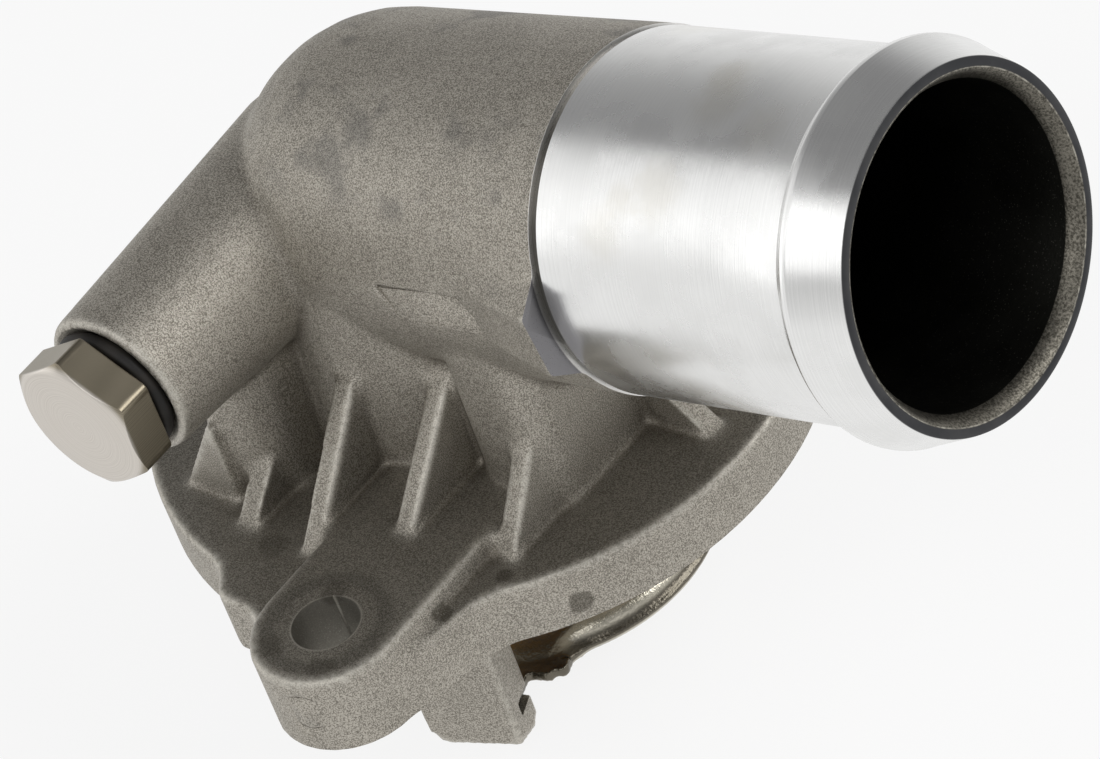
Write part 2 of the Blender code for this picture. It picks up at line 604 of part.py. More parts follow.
def housing(parts):
    """The casting: everything that the die and the later machining leave in one piece."""
    adds = collection("housing_adds", parts)
    cuts = collection("housing_cuts", parts)
    inner = collection("housing_inner", parts)
    drills = collection("housing_drills", parts)
    branches = collection("water_way_branches", parts)
    facing = collection("housing_facing", parts)
    legs = collection("housing_legs", parts)
    rim = arc(FLANGE_RADIUS - FLANGE_EDGE_RADIUS, FLANGE_THICKNESS - FLANGE_EDGE_RADIUS,
              FLANGE_EDGE_RADIUS, 90 * DEG, 0, 3)
    disc = [(0, FLANGE_THICKNESS), *rim, (FLANGE_RADIUS, -MACHINING), (0, -MACHINING)]
    body = turned("housing", disc, parts, 96)

    turned("neck", neck_outline(), adds, FINE, NECK)
    turned("tower", tower_outline(), adds, FINE)
    turned("plug_boss", boss_outline(), adds, MEDIUM, BOSS)
    for number, turn in enumerate((Matrix(), HALF_TURN)):
        ear = plate(f"ear_{number}", ear_outline(), -1.5 * MACHINING, EAR_TOP, adds, turn)
        round_rim(ear, EAR_TOP, FLANGE_EDGE_RADIUS, 2)
        web_top = FLANGE_THICKNESS + WEB_STEP
        web = plate(f"side_web_{number}", side_web_outline(), -2 * MACHINING, web_top, adds, turn)
        round_rim(web, web_top, FLANGE_EDGE_RADIUS, 2)
        lug_top = web_top + WEB_STEP
        lug = plate(f"side_lug_{number}", side_lug_outline(), -2.5 * MACHINING, lug_top, adds, turn)
        round_rim(lug, lug_top, FLANGE_EDGE_RADIUS, 2)
    add_ribs(adds)
    add_pillars(adds)
    add_parting_lug(adds)
    reach = EAR_HOLE_Y + 2 * EAR_RADIUS
    box("mounting_face", (-reach, -reach, -5 * MACHINING), (reach, reach, 0), facing)
    add_legs(legs)

    # Half a facet of turn keeps the edges of a bore off those of the wall round it
    half_facet = Matrix.Rotation(math.pi / FINE, 4, "Z")
    water_way = turned("water_way", bore_outline(), cuts, FINE, NECK @ half_facet)
    seat = CHAMBER_MOUTH_RADIUS + SEAT_CHAMFER
    chamber_top = ELBOW_RADIUS - ELBOW_WALL - CHAMBER_STEP
    chamber = [
        (0, ELBOW_HEIGHT),
        (chamber_top, ELBOW_HEIGHT),
        (CHAMBER_MOUTH_RADIUS, SEAT_CHAMFER),
        (seat + OVERLAP, -OVERLAP),
        (0, -OVERLAP),
    ]
    turned("chamber", chamber, branches, FINE, half_facet)
    turned("boss_bore", boss_bore_outline(), branches, COARSE, BOSS)
    boolean(water_way, "UNION", branches)
    for number, turn in enumerate((Matrix(), HALF_TURN)):
        place = turn @ Matrix.Translation((EAR_X, -EAR_HOLE_Y, 0))
        cylinder(f"bolt_hole_{number}", BOLT_HOLE_RADIUS, -OVERLAP, EAR_TOP + OVERLAP, cuts, COARSE, place)
    groove_in = SEAL_GROOVE_RADIUS - SEAL_GROOVE_WIDTH / 2
    groove_out = SEAL_GROOVE_RADIUS + SEAL_GROOVE_WIDTH / 2
    groove = [
        (groove_out, SEAL_GROOVE_DEPTH),
        (groove_out, -OVERLAP),
        (groove_in, -OVERLAP),
        (groove_in, SEAL_GROOVE_DEPTH),
    ]
    turned("seal_groove", groove, cuts, FINE, closed=True)
    slot_top = ARM_TOP + GAP
    slot_bottom = ARM_TOP - SHEET - GAP
    for number, frame in enumerate(LEG_FRAMES):
        low = (LEG_INNER - OVERLAP, -LEG_HALF_WIDTH - OVERLAP, slot_bottom)
        high = (LEG_INNER + SLOT_DEPTH, LEG_HALF_WIDTH + OVERLAP, slot_top)
        box(f"hook_slot_{number}", low, high, cuts, frame)
        half = LEG_HALF_WIDTH + OVERLAP
        plate(f"leg_foot_{number}", leg_foot(), -half, half, cuts, frame @ ALONG_X)
    c = RECESS_CORNER
    recess = [
        (RECESS_BOTTOM, RECESS_START),
        (RECESS_BOTTOM, RECESS_END - c),
        (RECESS_BOTTOM - c, RECESS_END),
        (-RECESS_TOP + c, RECESS_END),
        (-RECESS_TOP, RECESS_END - c),
        (-RECESS_TOP, RECESS_START),
    ]
    side = ELBOW_RADIUS - RECESS_DEPTH
    recess_frame = NECK @ ALONG_X
    plate("blank_recess", recess, side, side + 2 * OVERLAP, cuts, recess_frame)

    add_crossbar(inner)
    cylinder("piston_socket", PISTON_RADIUS + GAP, SOCKET_BOTTOM - OVERLAP,
             SOCKET_BOTTOM + SOCKET_DEPTH, drills, COARSE)
    boolean(body, "UNION", adds)
    boolean(body, "DIFFERENCE", facing)
    boolean(body, "UNION", legs)
    boolean(body, "DIFFERENCE", cuts)
    boolean(body, "UNION", inner)
    boolean(body, "DIFFERENCE", drills)
    for group in (adds, facing, legs, cuts, inner, drills, branches):
        as_tool(group)
    return finish(body, "cast_aluminium")


# Heights of the wax element and valve, from the seat down and from the socket down
SEAL_TOP = -GAP
PLATE_TOP = SEAL_TOP - SEAL_THICKNESS - GAP
PLATE_BOTTOM = PLATE_TOP - PLATE_THICKNESS
COLLAR_BOTTOM = PLATE_TOP + GAP
COLLAR_TOP = COLLAR_BOTTOM + CUP_COLLAR_THICKNESS
PISTON_TOP = SOCKET_BOTTOM + SOCKET_DEPTH - GAP
PISTON_BOTTOM = PISTON_TOP - PISTON_LENGTH
CUP_INNER = CUP_RADIUS - CUP_WALL
BOOT_RADIUS = PISTON_RADIUS + GAP + BOOT_WALL


def flange_seal(parts):
    """A square-cut ring in the flange groove that stands a little proud of the face."""
    outer = SEAL_GROOVE_RADIUS + SEAL_GROOVE_WIDTH / 2 - GAP
    inner = SEAL_GROOVE_RADIUS - SEAL_GROOVE_WIDTH / 2 + GAP
    top = SEAL_GROOVE_DEPTH - GAP
    soft = 0.5 * MM
    ring = [
        (outer, top),
        (outer, -SEAL_STAND + soft),
        (outer - soft, -SEAL_STAND),
        (inner + soft, -SEAL_STAND),
        (inner, -SEAL_STAND + soft),
        (inner, top),
    ]
    return finish(turned("flange_seal", ring, parts, FINE, closed=True), "black_rubber")


def bleed_plug(parts):
    """Hexagon head with a turned chamfer, on a shank that screws into the boss."""
    base = BOSS_RIM_Y + PLUG_HEAD_GAP
    face = base + PLUG_HEAD_HEIGHT
    corner = PLUG_ACROSS_FLATS / 2 / math.cos(30 * DEG)
    inscribed = PLUG_ACROSS_FLATS / 2 - 0.2 * MM
    bm = bmesh.new()
    # A corner of the hexagon points straight up
    turn = Matrix.Translation((0, 0, (base + face) / 2)) @ Matrix.Rotation(90 * DEG, 4, "Z")
    bmesh.ops.create_cone(
        bm, cap_ends=True, segments=6, radius1=corner, radius2=corner, depth=PLUG_HEAD_HEIGHT, matrix=turn
    )
    plug = object_from("bleed_plug", bm, parts, BOSS)
    tools = collection("plug_chamfer", parts)
    drop = (corner - inscribed) * math.tan(30 * DEG)
    chamfer = [
        (0, face),
        (inscribed, face),
        (corner + GAP, face - drop - GAP * math.tan(30 * DEG)),
        (corner + GAP, base - OVERLAP),
        (0, base - OVERLAP),
    ]
    turned("head_chamfer", chamfer, tools, MEDIUM, BOSS)
    shanks = collection("plug_shank", parts)
    end = base - PLUG_SHANK_LENGTH
    lead = 0.9 * MM
    neck_radius = PLUG_SHANK_RADIUS - GAP
    shank = [
        (0, base + OVERLAP),
        (neck_radius, base + OVERLAP),
        (neck_radius, BOSS_RIM_Y - 3 * MM),
        (PLUG_SHANK_RADIUS, BOSS_RIM_Y - 3.3 * MM),
        (PLUG_SHANK_RADIUS, end + lead),
        (PLUG_SHANK_RADIUS - lead, end),
        (0, end),
    ]
    turned("shank", shank, shanks, COARSE, BOSS)
    boolean(plug, "INTERSECT", tools)
    boolean(plug, "UNION", shanks)
    for group in (tools, shanks):
        as_tool(group)
    return finish(plug, "bright_nickel")


def plug_o_ring(parts):
    """The ring between the head and the boss's countersink."""
    middle = BOSS_RIM_Y + RING_HEIGHT
    section = arc(RING_RADIUS, middle, RING_SECTION_RADIUS, math.pi, -math.pi, 10)[:-1]
    return finish(turned("plug_o_ring", section, parts, COARSE, BOSS, closed=True), "black_rubber")


def piston(parts):
    """The ground pin that stands in the crossbar's socket and reaches into the boot."""
    tip = 0.6 * MM
    pin = [
        (0, PISTON_TOP),
        (PISTON_RADIUS - tip, PISTON_TOP),
        (PISTON_RADIUS, PISTON_TOP - tip),
        (PISTON_RADIUS, PISTON_BOTTOM + 2 * tip),
        (PISTON_RADIUS - tip, PISTON_BOTTOM),
        (0, PISTON_BOTTOM),
    ]
    return finish(turned("piston", pin, parts, 24), "ground_steel")


def wax_cup(parts):
    """The brass cup that holds the wax, with the collar that pushes the valve plate."""
    nose = 1.2 * MM
    floor = CUP_BOTTOM + CUP_WALL
    cup = [
        (0, floor),
        (CUP_INNER - nose / 2, floor),
        (CUP_INNER, floor + nose / 2),
        (CUP_INNER, COLLAR_TOP),
        (CUP_COLLAR_RADIUS, COLLAR_TOP),
        (CUP_COLLAR_RADIUS, COLLAR_BOTTOM),
        (CUP_RADIUS, COLLAR_BOTTOM),
        (CUP_RADIUS, CUP_BOTTOM + nose),
        (CUP_RADIUS - nose, CUP_BOTTOM),
        (0, CUP_BOTTOM),
    ]
    return finish(turned("wax_cup", cup, parts, MEDIUM), "brass")


def boot_bottom():
    return PISTON_BOTTOM - GAP - BOOT_WALL


def rubber_boot(parts):
    """The sleeve round the piston's end, which the melting wax squeezes."""
    inner = PISTON_RADIUS + GAP
    brim = CUP_INNER - GAP
    boot = [
        (0, PISTON_BOTTOM - GAP),
        (inner, PISTON_BOTTOM - GAP),
        (inner, COLLAR_TOP),
        (brim, COLLAR_TOP),
        (brim, COLLAR_TOP - BOOT_FLANGE),
        (BOOT_RADIUS, COLLAR_TOP - BOOT_FLANGE),
        (BOOT_RADIUS, boot_bottom() + BOOT_WALL / 2),
        (BOOT_RADIUS - BOOT_WALL / 2, boot_bottom()),
        (0, boot_bottom()),
    ]
    return finish(turned("rubber_boot", boot, parts, 24), "black_rubber")


def wax_charge(parts):
    """The wax that fills the cup round and under the boot."""
    outer = CUP_INNER - GAP
    inner = BOOT_RADIUS + GAP
    top = COLLAR_TOP - BOOT_FLANGE - GAP
    bottom = CUP_BOTTOM + CUP_WALL + GAP
    soft = 0.6 * MM
    wax = [
        (0, boot_bottom() - GAP),
        (inner, boot_bottom() - GAP),
        (inner, top),
        (outer, top),
        (outer, bottom + soft),
        (outer - soft, bottom),
        (0, bottom),
    ]
    return finish(turned("wax_charge", wax, parts, 24), "wax")


def boot_washer(parts):
    """The slippery disc on the boot that keeps the rubber out of the guide."""
    inner = PISTON_RADIUS + GAP
    outer = CUP_INNER - GAP
    low = COLLAR_TOP + GAP
    high = low + WASHER_THICKNESS
    disc = [(outer, high), (outer, low), (inner, low), (inner, high)]
    return finish(turned("boot_washer", disc, parts, 24, closed=True), "ptfe")


def guide_cover(parts):
    """The cover on the cup, drawn up into a guide round the piston."""
    low = COLLAR_TOP + GAP
    seat = low + WASHER_THICKNESS + GAP
    inner = PISTON_RADIUS + GAP
    top = COLLAR_TOP + GAP + COVER_HEIGHT
    cover = [
        (inner + 0.4 * MM, top),
        (COVER_TOP_RADIUS, top),
        (COVER_TOP_RADIUS + 0.4 * MM, top - 3.5 * MM),
        (CUP_INNER + 0.4 * MM, low + COVER_RIM),
        (CUP_COLLAR_RADIUS, low + COVER_RIM),
        (CUP_COLLAR_RADIUS, low),
        (CUP_INNER, low),
        (CUP_INNER, seat),
        (inner, seat),
        (inner, top - 0.4 * MM),
    ]
    return finish(turned("guide_cover", cover, parts, COARSE, closed=True), "brass")


def valve_plate(parts):
    """The stamped disc under the collar, with a turned-down rim round the spring."""
    hole = CUP_RADIUS + GAP
    inside = PLATE_RADIUS - PLATE_THICKNESS
    bend = 0.8 * MM
    disc = [
        (PLATE_RADIUS - bend, PLATE_TOP),
        (PLATE_RADIUS, PLATE_TOP - bend),
        (PLATE_RADIUS, PLATE_BOTTOM - PLATE_SKIRT),
        (inside, PLATE_BOTTOM - PLATE_SKIRT),
        (inside, PLATE_BOTTOM),
        (hole, PLATE_BOTTOM),
        (hole, PLATE_TOP),
    ]
    return finish(turned("valve_plate", disc, parts, MEDIUM, closed=True), "brass")


def valve_seal(parts):
    """The rubber ring over the plate's rim that closes on the seat."""
    lip = PLATE_RADIUS + GAP
    low = PLATE_TOP + GAP
    soft = 0.35 * MM
    ring = [
        (SEAL_INNER_RADIUS + soft, SEAL_TOP),
        (SEAL_RADIUS - soft, SEAL_TOP),
        (SEAL_RADIUS, SEAL_TOP - soft),
        (SEAL_RADIUS, PLATE_BOTTOM),
        (lip, PLATE_BOTTOM),
        (lip, low),
        (SEAL_INNER_RADIUS, low),
        (SEAL_INNER_RADIUS, SEAL_TOP - soft),
    ]
    return finish(turned("valve_seal", ring, parts, MEDIUM, closed=True), "black_rubber")


def main_spring(parts):
    """A coil with flat ends between the valve plate and the dish's floor."""
    top = PLATE_BOTTOM - GAP - SPRING_WIRE_RADIUS
    bottom = DISH_FLOOR + SHEET + GAP + SPRING_WIRE_RADIUS
    per_turn = 16
    count = round(SPRING_TURNS * per_turn) + 1
    active = SPRING_TURNS - 2 * SPRING_FLAT_TURNS
    curve = bpy.data.curves.new("main_spring", "CURVE")
    curve.dimensions = "3D"
    curve.bevel_depth = SPRING_WIRE_RADIUS
    curve.bevel_resolution = 2
    curve.use_fill_caps = True
    spline = curve.splines.new("POLY")
    spline.points.add(count - 1)
    for number, point in enumerate(spline.points):
        turns = number / per_turn
        share = min(1, max(0, (turns - SPRING_FLAT_TURNS) / active))
        angle = turns * math.tau
        height = bottom + (top - bottom) * share
        point.co = (SPRING_RADIUS * math.cos(angle), SPRING_RADIUS * math.sin(angle), height, 1)
    spring = bpy.data.objects.new("main_spring", curve)
    parts.objects.link(spring)
    curve.materials.append(material("spring_steel"))
    return spring


def dish_side(depth):
    """One face of the stamped section from its hole to its brim, this deep under the top face."""
    floor = DISH_FLOOR + SHEET
    roll_z = DISH_FLOOR + ROLL_RISE
    flare_reach = ROLL_RADIUS + FLARE_RADIUS
    flare_r = ROLL_MIDDLE + flare_reach * math.cos(ROLL_END)
    flare_z = roll_z + flare_reach * math.sin(ROLL_END)
    brim_normal = 270 * DEG - BRIM_SLOPE
    flare = arc(flare_r, flare_z, FLARE_RADIUS + depth, math.pi + ROLL_END, brim_normal, 2)
    end_r, end_z = flare[-1]
    brim = (end_r + BRIM_WIDTH * math.cos(BRIM_SLOPE), end_z - BRIM_WIDTH * math.sin(BRIM_SLOPE))
    return [
        (DISH_HOLE_RADIUS, floor - depth),
        *arc(DISH_WALL - DISH_BEND, floor + DISH_BEND, DISH_BEND + depth, -90 * DEG, 0, 3),
        *arc(ROLL_MIDDLE, roll_z, ROLL_RADIUS - depth, math.pi, ROLL_END, 7),
        *flare[1:],
        brim,
    ]


def window_outline(centre):
    """A flow window through the dish's floor: a curved slot with round ends."""
    middle = (WINDOW_INNER + WINDOW_OUTER) / 2
    half = (WINDOW_OUTER - WINDOW_INNER) / 2
    start = centre - WINDOW_SPAN / 2
    end = centre + WINDOW_SPAN / 2
    first = (middle * math.cos(start), middle * math.sin(start))
    last = (middle * math.cos(end), middle * math.sin(end))
    return [
        *round_end((0, 0), WINDOW_OUTER, start, end, 6),
        *round_end(last, half, end, end + math.pi, 4)[1:-1],
        *round_end((0, 0), WINDOW_INNER, end, start, 6),
        *round_end(first, half, start + math.pi, start + math.tau, 4)[1:-1],
    ]


def bridge(parts):
    """The stamped dish: flow windows round its guide hole, and a flat arm with a tab at each leg."""
    dish = turned("bridge", dish_side(0) + dish_side(SHEET)[::-1], parts, MEDIUM, closed=True)
    gaps = collection("bridge_cuts", parts)
    arms = collection("bridge_arms", parts)
    for number in range(WINDOW_COUNT):
        centre = LEG_ANGLE + math.pi / WINDOW_COUNT + math.tau * number / WINDOW_COUNT
        low = DISH_FLOOR - OVERLAP
        high = DISH_FLOOR + SHEET + OVERLAP
        plate(f"window_{number}", window_outline(centre), low, high, gaps)
    crest = DISH_FLOOR + ROLL_RISE + ROLL_RADIUS
    gap = [
        (-ARM_GAP_BOTTOM, ARM_TOP),
        (ARM_GAP_BOTTOM, ARM_TOP),
        (ARM_GAP_TOP, crest),
        (ARM_GAP_TOP, crest + OVERLAP),
        (-ARM_GAP_TOP, crest + OVERLAP),
        (-ARM_GAP_TOP, crest),
    ]
    root = DISH_WALL + SHEET / 2
    arm = [
        (root, -ARM_HALF_WIDTH),
        (ARM_REACH - ARM_CORNER, -ARM_HALF_WIDTH),
        (ARM_REACH, -ARM_HALF_WIDTH + ARM_CORNER),
        (ARM_REACH, -TAB_HALF_WIDTH),
        (TAB_REACH, -TAB_HALF_WIDTH),
        (TAB_REACH, TAB_HALF_WIDTH),
        (ARM_REACH, TAB_HALF_WIDTH),
        (ARM_REACH, ARM_HALF_WIDTH - ARM_CORNER),
        (ARM_REACH - ARM_CORNER, ARM_HALF_WIDTH),
        (root, ARM_HALF_WIDTH),
    ]
    for number, frame in enumerate(LEG_FRAMES):
        plate(f"arm_gap_{number}", gap, SPRING_RADIUS, ARM_REACH, gaps, frame @ ALONG_Y)
        plate(f"arm_{number}", arm, ARM_TOP - SHEET, ARM_TOP, arms, frame)
    boolean(dish, "DIFFERENCE", gaps)
    boolean(dish, "UNION", arms)
    for group in (gaps, arms):
        as_tool(group)
    return finish(dish, "stamped_steel")


def main():
    clear_scene()
    parts = collection("thermostat_housing")
    for make in (
        housing,
        flange_seal,
        bleed_plug,
        plug_o_ring,
        piston,
        guide_cover,
        boot_washer,
        rubber_boot,
        wax_charge,
        wax_cup,
        valve_plate,
        valve_seal,
        main_spring,
        bridge,
    ):
        make(parts)


main()
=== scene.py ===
import math

import bmesh
import bpy
import numpy as np
from mathutils import Matrix, Vector, kdtree


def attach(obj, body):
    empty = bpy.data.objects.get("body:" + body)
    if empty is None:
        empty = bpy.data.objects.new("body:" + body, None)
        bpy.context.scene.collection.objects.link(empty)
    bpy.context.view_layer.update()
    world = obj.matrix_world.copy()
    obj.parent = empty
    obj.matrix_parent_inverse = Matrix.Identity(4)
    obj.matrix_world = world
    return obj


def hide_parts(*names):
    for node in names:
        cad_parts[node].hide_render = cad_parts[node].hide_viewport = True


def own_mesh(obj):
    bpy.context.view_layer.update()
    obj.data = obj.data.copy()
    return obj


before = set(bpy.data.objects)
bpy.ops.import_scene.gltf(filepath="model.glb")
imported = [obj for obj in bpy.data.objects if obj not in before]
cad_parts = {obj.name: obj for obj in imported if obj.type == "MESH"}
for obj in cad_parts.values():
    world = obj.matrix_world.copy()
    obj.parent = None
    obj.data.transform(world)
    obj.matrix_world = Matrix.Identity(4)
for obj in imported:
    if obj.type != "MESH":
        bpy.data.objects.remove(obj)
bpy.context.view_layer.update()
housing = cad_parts["housing"]

MM = 0.001
DEG = math.pi / 180

# Camera: the photo's angle, from its solved distance to a point inside the elbow
CAMERA_AIM = Vector((18.3, -7.17, 16.22)) * MM
CAMERA_DISTANCE = 489.8 * MM
CAMERA_AZIMUTH = 50.65 * DEG
CAMERA_ELEVATION = 40.53 * DEG
CAMERA_ROLL = 20.26 * DEG
CAMERA_LENS = 36 * 5000 / 1100

# The casting, as the frame has it
EAR_X = 11.5 * MM
EAR_HOLE_Y = 38.4 * MM
EAR_TOP = 9.5 * MM
BOLT_HOLE_RADIUS = 3.5 * MM
EJECTOR_RADIUS = 2.2 * MM
EJECTOR_LINE = 0.07 * MM
EJECTOR_HEIGHT = 5.3 * MM
EJECTOR_FLOOR = 7.82 * MM
NECK_TILT = 10.9 * DEG
ELBOW_HEIGHT = 30.96 * MM
ELBOW_RADIUS = 17.1 * MM
CHAMBER_RADIUS = 15.6 * MM
CORE_RADIUS = 16.6 * MM
GROOVE_INNER = 30.0 * MM
GROOVE_OUTER = 32.6 * MM
GROOVE_DEPTH = 2.0 * MM
BOSS_X = -10.5 * MM
BOSS_Z = 30.3 * MM
BOSS_RIM_Y = 34.75 * MM
BOSS_CORE_RADIUS = 7.6 * MM
LEG_ANGLE = -69 * DEG
LEG_INNER = 22.8 * MM
LEG_HALF_WIDTH = 5.0 * MM
LEG_OUTER = 27.5 * MM
SLOT_DEPTH = 2.9 * MM
SLOT_TOP = -17.7 * MM
SLOT_BOTTOM = -19.5 * MM
ROOM_INSIDE_LEG = 4 * MM
FLOOR_Z = -25.6 * MM

# Blank recess on the neck's side, in the neck's frame
RECESS_START = 10.75 * MM
RECESS_END = 23.55 * MM
RECESS_UPPER = -0.65 * MM
RECESS_LOWER = 3.55 * MM
RECESS_TURN = -5.5 * DEG
RECESS_CORNER = 1.2 * MM
RECESS_SIDE = 17.2 * MM
RECESS_TILT = -1.2 * DEG
RECESS_LINE = 0.4 * MM

# The neck that the lathe leaves, by distance along its axis
NECK_CAST_RADIUS = 17.65 * MM
NECK_STEP = 34.4 * MM
NECK_RADIUS = 17.5 * MM
RELIEF_WIDTH = 0.55 * MM
RELIEF_DEPTH = 0.35 * MM
BEAD_START = 65.0 * MM
BEAD_CREST = 66.8 * MM
BEAD_FLAT = 0.4 * MM
BEAD_RADIUS = 18.79 * MM
NECK_END = 72.5 * MM
NECK_END_RADIUS = 17.2 * MM
NECK_MOUTH_RADIUS = 16.05 * MM
NECK_MOUTH_DEPTH = 1.6 * MM
NECK_BORE_RADIUS = 15.0 * MM

# The plug and its ring, by distance along the boss's axis
PLUG_BASE = BOSS_RIM_Y + 1.45 * MM
PLUG_HEAD = 4.5 * MM
PLUG_ACROSS_FLATS = 14 * MM
PLUG_SHANK_RADIUS = 5 * MM
PLUG_SHANK_END = PLUG_BASE - 10.5 * MM
THREAD_PITCH = 1.25 * MM
THREAD_DEPTH = 0.55 * MM
RING_RADIUS = 6.15 * MM
RING_SECTION = 0.85 * MM
RING_MIDDLE = BOSS_RIM_Y + 0.3 * MM

# Spring and the stamped bridge under it
SPRING_RADIUS = 12.5 * MM
SPRING_WIRE = 1.1 * MM
SPRING_TURNS = 3.5
SPRING_FLAT_TURNS = 0.6
SPRING_BOTTOM = -18.6 * MM
SPRING_TOP = -4.0 * MM
SHEET = 1.2 * MM
DISH_FLOOR = -21.2 * MM
DISH_HOLE_RADIUS = 6.59 * MM
DISH_WALL = 14.05 * MM
DISH_BEND = 0.8 * MM
ROLL_RADIUS = 2.4 * MM
ROLL_MIDDLE = 16.45 * MM
ROLL_RISE = 2.3 * MM
ROLL_END = 20 * DEG
FLARE_RADIUS = 0.9 * MM
BRIM_SLOPE = 30 * DEG
BRIM_WIDTH = 0.5 * MM
ARM_TOP = -18.0 * MM
ARM_REACH = 21.3 * MM
ARM_HALF_WIDTH = 8.7 * MM
ARM_CORNER = 1.4 * MM
ARM_BEND = 1.6 * MM
ARM_CREST = -16.9 * MM
ARM_FALL = 1.5 * MM
PRESSED_HALF_WIDTH = 5.2 * MM
ROLLED_HALF_WIDTH = 8.8 * MM
TAB_REACH = 25.4 * MM
TAB_HALF_WIDTH = 4.5 * MM
WINDOW_INNER = 7.9 * MM
WINDOW_OUTER = 11.0 * MM
WINDOW_SPAN = 58 * DEG
WINDOW_COUNT = 4

# Skin of the casting: facet size, and the passes that round its inner and outer corners
SKIN_FACET = 0.4 * MM
FILL_PASSES = 8
STEADY_PAIRS = 5
SOFTEN_PASSES = 1
SKIN_TRIANGLES = 184000
RUN_OUT = 1.4 * MM
CORE_OVERRUN = 3 * MM

# Skin of the bridge
SHEET_FACET = 0.24 * MM
SHEET_FILL_PASSES = 6
SHEET_SOFTEN_PASSES = 2
SHEET_TRIANGLES = 90000

# Frames of the neck, the boss and the legs: Z runs out along the first two's axes
NECK = Matrix.Translation((0, 0, ELBOW_HEIGHT)) @ Matrix.Rotation(90 * DEG - NECK_TILT, 4, "Y")
BOSS = Matrix.Translation((BOSS_X, 0, BOSS_Z)) @ Matrix.Rotation(90 * DEG, 4, "X")
ALONG_X = Matrix.Rotation(90 * DEG, 4, "X")
HALF_TURN = Matrix.Rotation(math.pi, 4, "Z")
EAR_FRAMES = [turn @ Matrix.Translation((EAR_X, -EAR_HOLE_Y, 0)) for turn in (Matrix(), HALF_TURN)]
LEG_FRAMES = [Matrix.Rotation(LEG_ANGLE, 4, "Z"), Matrix.Rotation(LEG_ANGLE + math.pi, 4, "Z")]


def arc(centre_r, centre_z, radius, start, end, steps):
    """Points along an arc of a turned profile, by angles from +R towards +Z."""
    angles = [start + (end - start) * i / steps for i in range(steps + 1)]
    return [(centre_r + radius * math.cos(a), centre_z + radius * math.sin(a)) for a in angles]


def circle(radius, facets):
    return arc(0, 0, radius, 0, math.tau, facets)[:-1]


def add_object(name, mesh):
    obj = bpy.data.objects.new(name, mesh)
    bpy.context.scene.collection.objects.link(obj)
    return obj


def object_from(name, bm, place=None):
    bmesh.ops.recalc_face_normals(bm, faces=bm.faces)
    bmesh.ops.transform(bm, matrix=place or Matrix(), verts=bm.verts)
    mesh = bpy.data.meshes.new(name)
    bm.to_mesh(mesh)
    bm.free()
    mesh.shade_smooth()
    return add_object(name, mesh)


def turned(name, profile, facets, place=None, closed=False):
    """A mesh turned about the place's Z, from (radius, height) points from top to bottom."""
    bm = bmesh.new()
    rings = []
    for r, z in profile:
        if r < 1e-9:
            rings.append([bm.verts.new((0, 0, z))])
            continue
        turn = [math.tau * i / facets for i in range(facets)]
        rings.append([bm.verts.new((r * math.cos(a), r * math.sin(a), z)) for a in turn])
    pairs = list(zip(rings, rings[1:]))
    if closed:
        pairs.append((rings[-1], rings[0]))
    for upper, lower in pairs:
        for i in range(facets):
            j = (i + 1) % facets
            ends = ((upper, i), (lower, i), (lower, j), (upper, j))
            corners = [ring[k % len(ring)] for ring, k in ends]
            corners = [v for k, v in enumerate(corners) if v not in corners[:k]]
            if len(corners) > 2:
                bm.faces.new(corners)
    return object_from(name, bm, place)


def rod(name, radius, low, high, facets, place=None):
    return turned(name, [(0, high), (radius, high), (radius, low), (0, low)], facets, place)


def band(name, inner, outer, low, high, facets, place=None):
    """A ring with a square section."""
    section = [(outer, high), (outer, low), (inner, low), (inner, high)]
    return turned(name, section, facets, place, closed=True)


def join_rings(bm, rings, closed=False):
    """Quads from each ring of points to the next, and back to the first or with flat ends."""
    if not closed:
        bm.faces.new(rings[0][::-1])
        bm.faces.new(rings[-1])
    following = rings[1:] + rings[:1] if closed else rings[1:]
    for first, second in zip(rings, following):
        for i in range(len(first)):
            j = (i + 1) % len(first)
            bm.faces.new((first[i], first[j], second[j], second[i]))


def plate(name, outline, low, high, place=None):
    """A flat plate with this outline, from low to high along the place's Z."""
    bm = bmesh.new()
    join_rings(bm, [[bm.verts.new((x, y, z)) for x, y in outline] for z in (low, high)])
    return object_from(name, bm, place)


def bar(name, near, far, half_width, low, high, place):
    """A square-edged plate that lies along the place's X."""
    outline = [(near, -half_width), (far, -half_width), (far, half_width), (near, half_width)]
    return plate(name, outline, low, high, place)


def evaluated(obj):
    """Makes an object's modifiers its real mesh."""
    depsgraph = bpy.context.evaluated_depsgraph_get()
    mesh = bpy.data.meshes.new_from_object(obj.evaluated_get(depsgraph))
    obj.modifiers.clear()
    obj.data = mesh
    return obj


def joined(name, objects, keep=()):
    """One object with the meshes of several, which are used up unless they are kept."""
    bm = bmesh.new()
    for obj in (*keep, *objects):
        bm.from_mesh(obj.data)
    mesh = bpy.data.meshes.new(name)
    bm.to_mesh(mesh)
    bm.free()
    for obj in objects:
        bpy.data.objects.remove(obj)
    return add_object(name, mesh)


def boolean(obj, tools, operation="DIFFERENCE", keep=()):
    """Cuts or joins exactly with each tool in turn; the tools are used up unless they are kept."""
    for tool in (*keep, *tools):
        step = obj.modifiers.new("boolean", "BOOLEAN")
        step.object = tool
        step.operation = operation
        step.solver = "EXACT"
        evaluated(obj)
    for tool in tools:
        bpy.data.objects.remove(tool)
    return obj


def reskinned(obj, facet):
    """Wraps closed shapes that overlap in one skin of even facets."""
    wrap = obj.modifiers.new("skin", "REMESH")
    wrap.mode = "VOXEL"
    wrap.voxel_size = facet
    wrap.use_smooth_shade = True
    return evaluated(obj)


def thinned(obj, triangles):
    """Fewer triangles on an all-quad mesh, most where it is flat."""
    thin = obj.modifiers.new("thin", "DECIMATE")
    thin.ratio = min(1, triangles / (2 * len(obj.data.polygons)))
    return evaluated(obj)


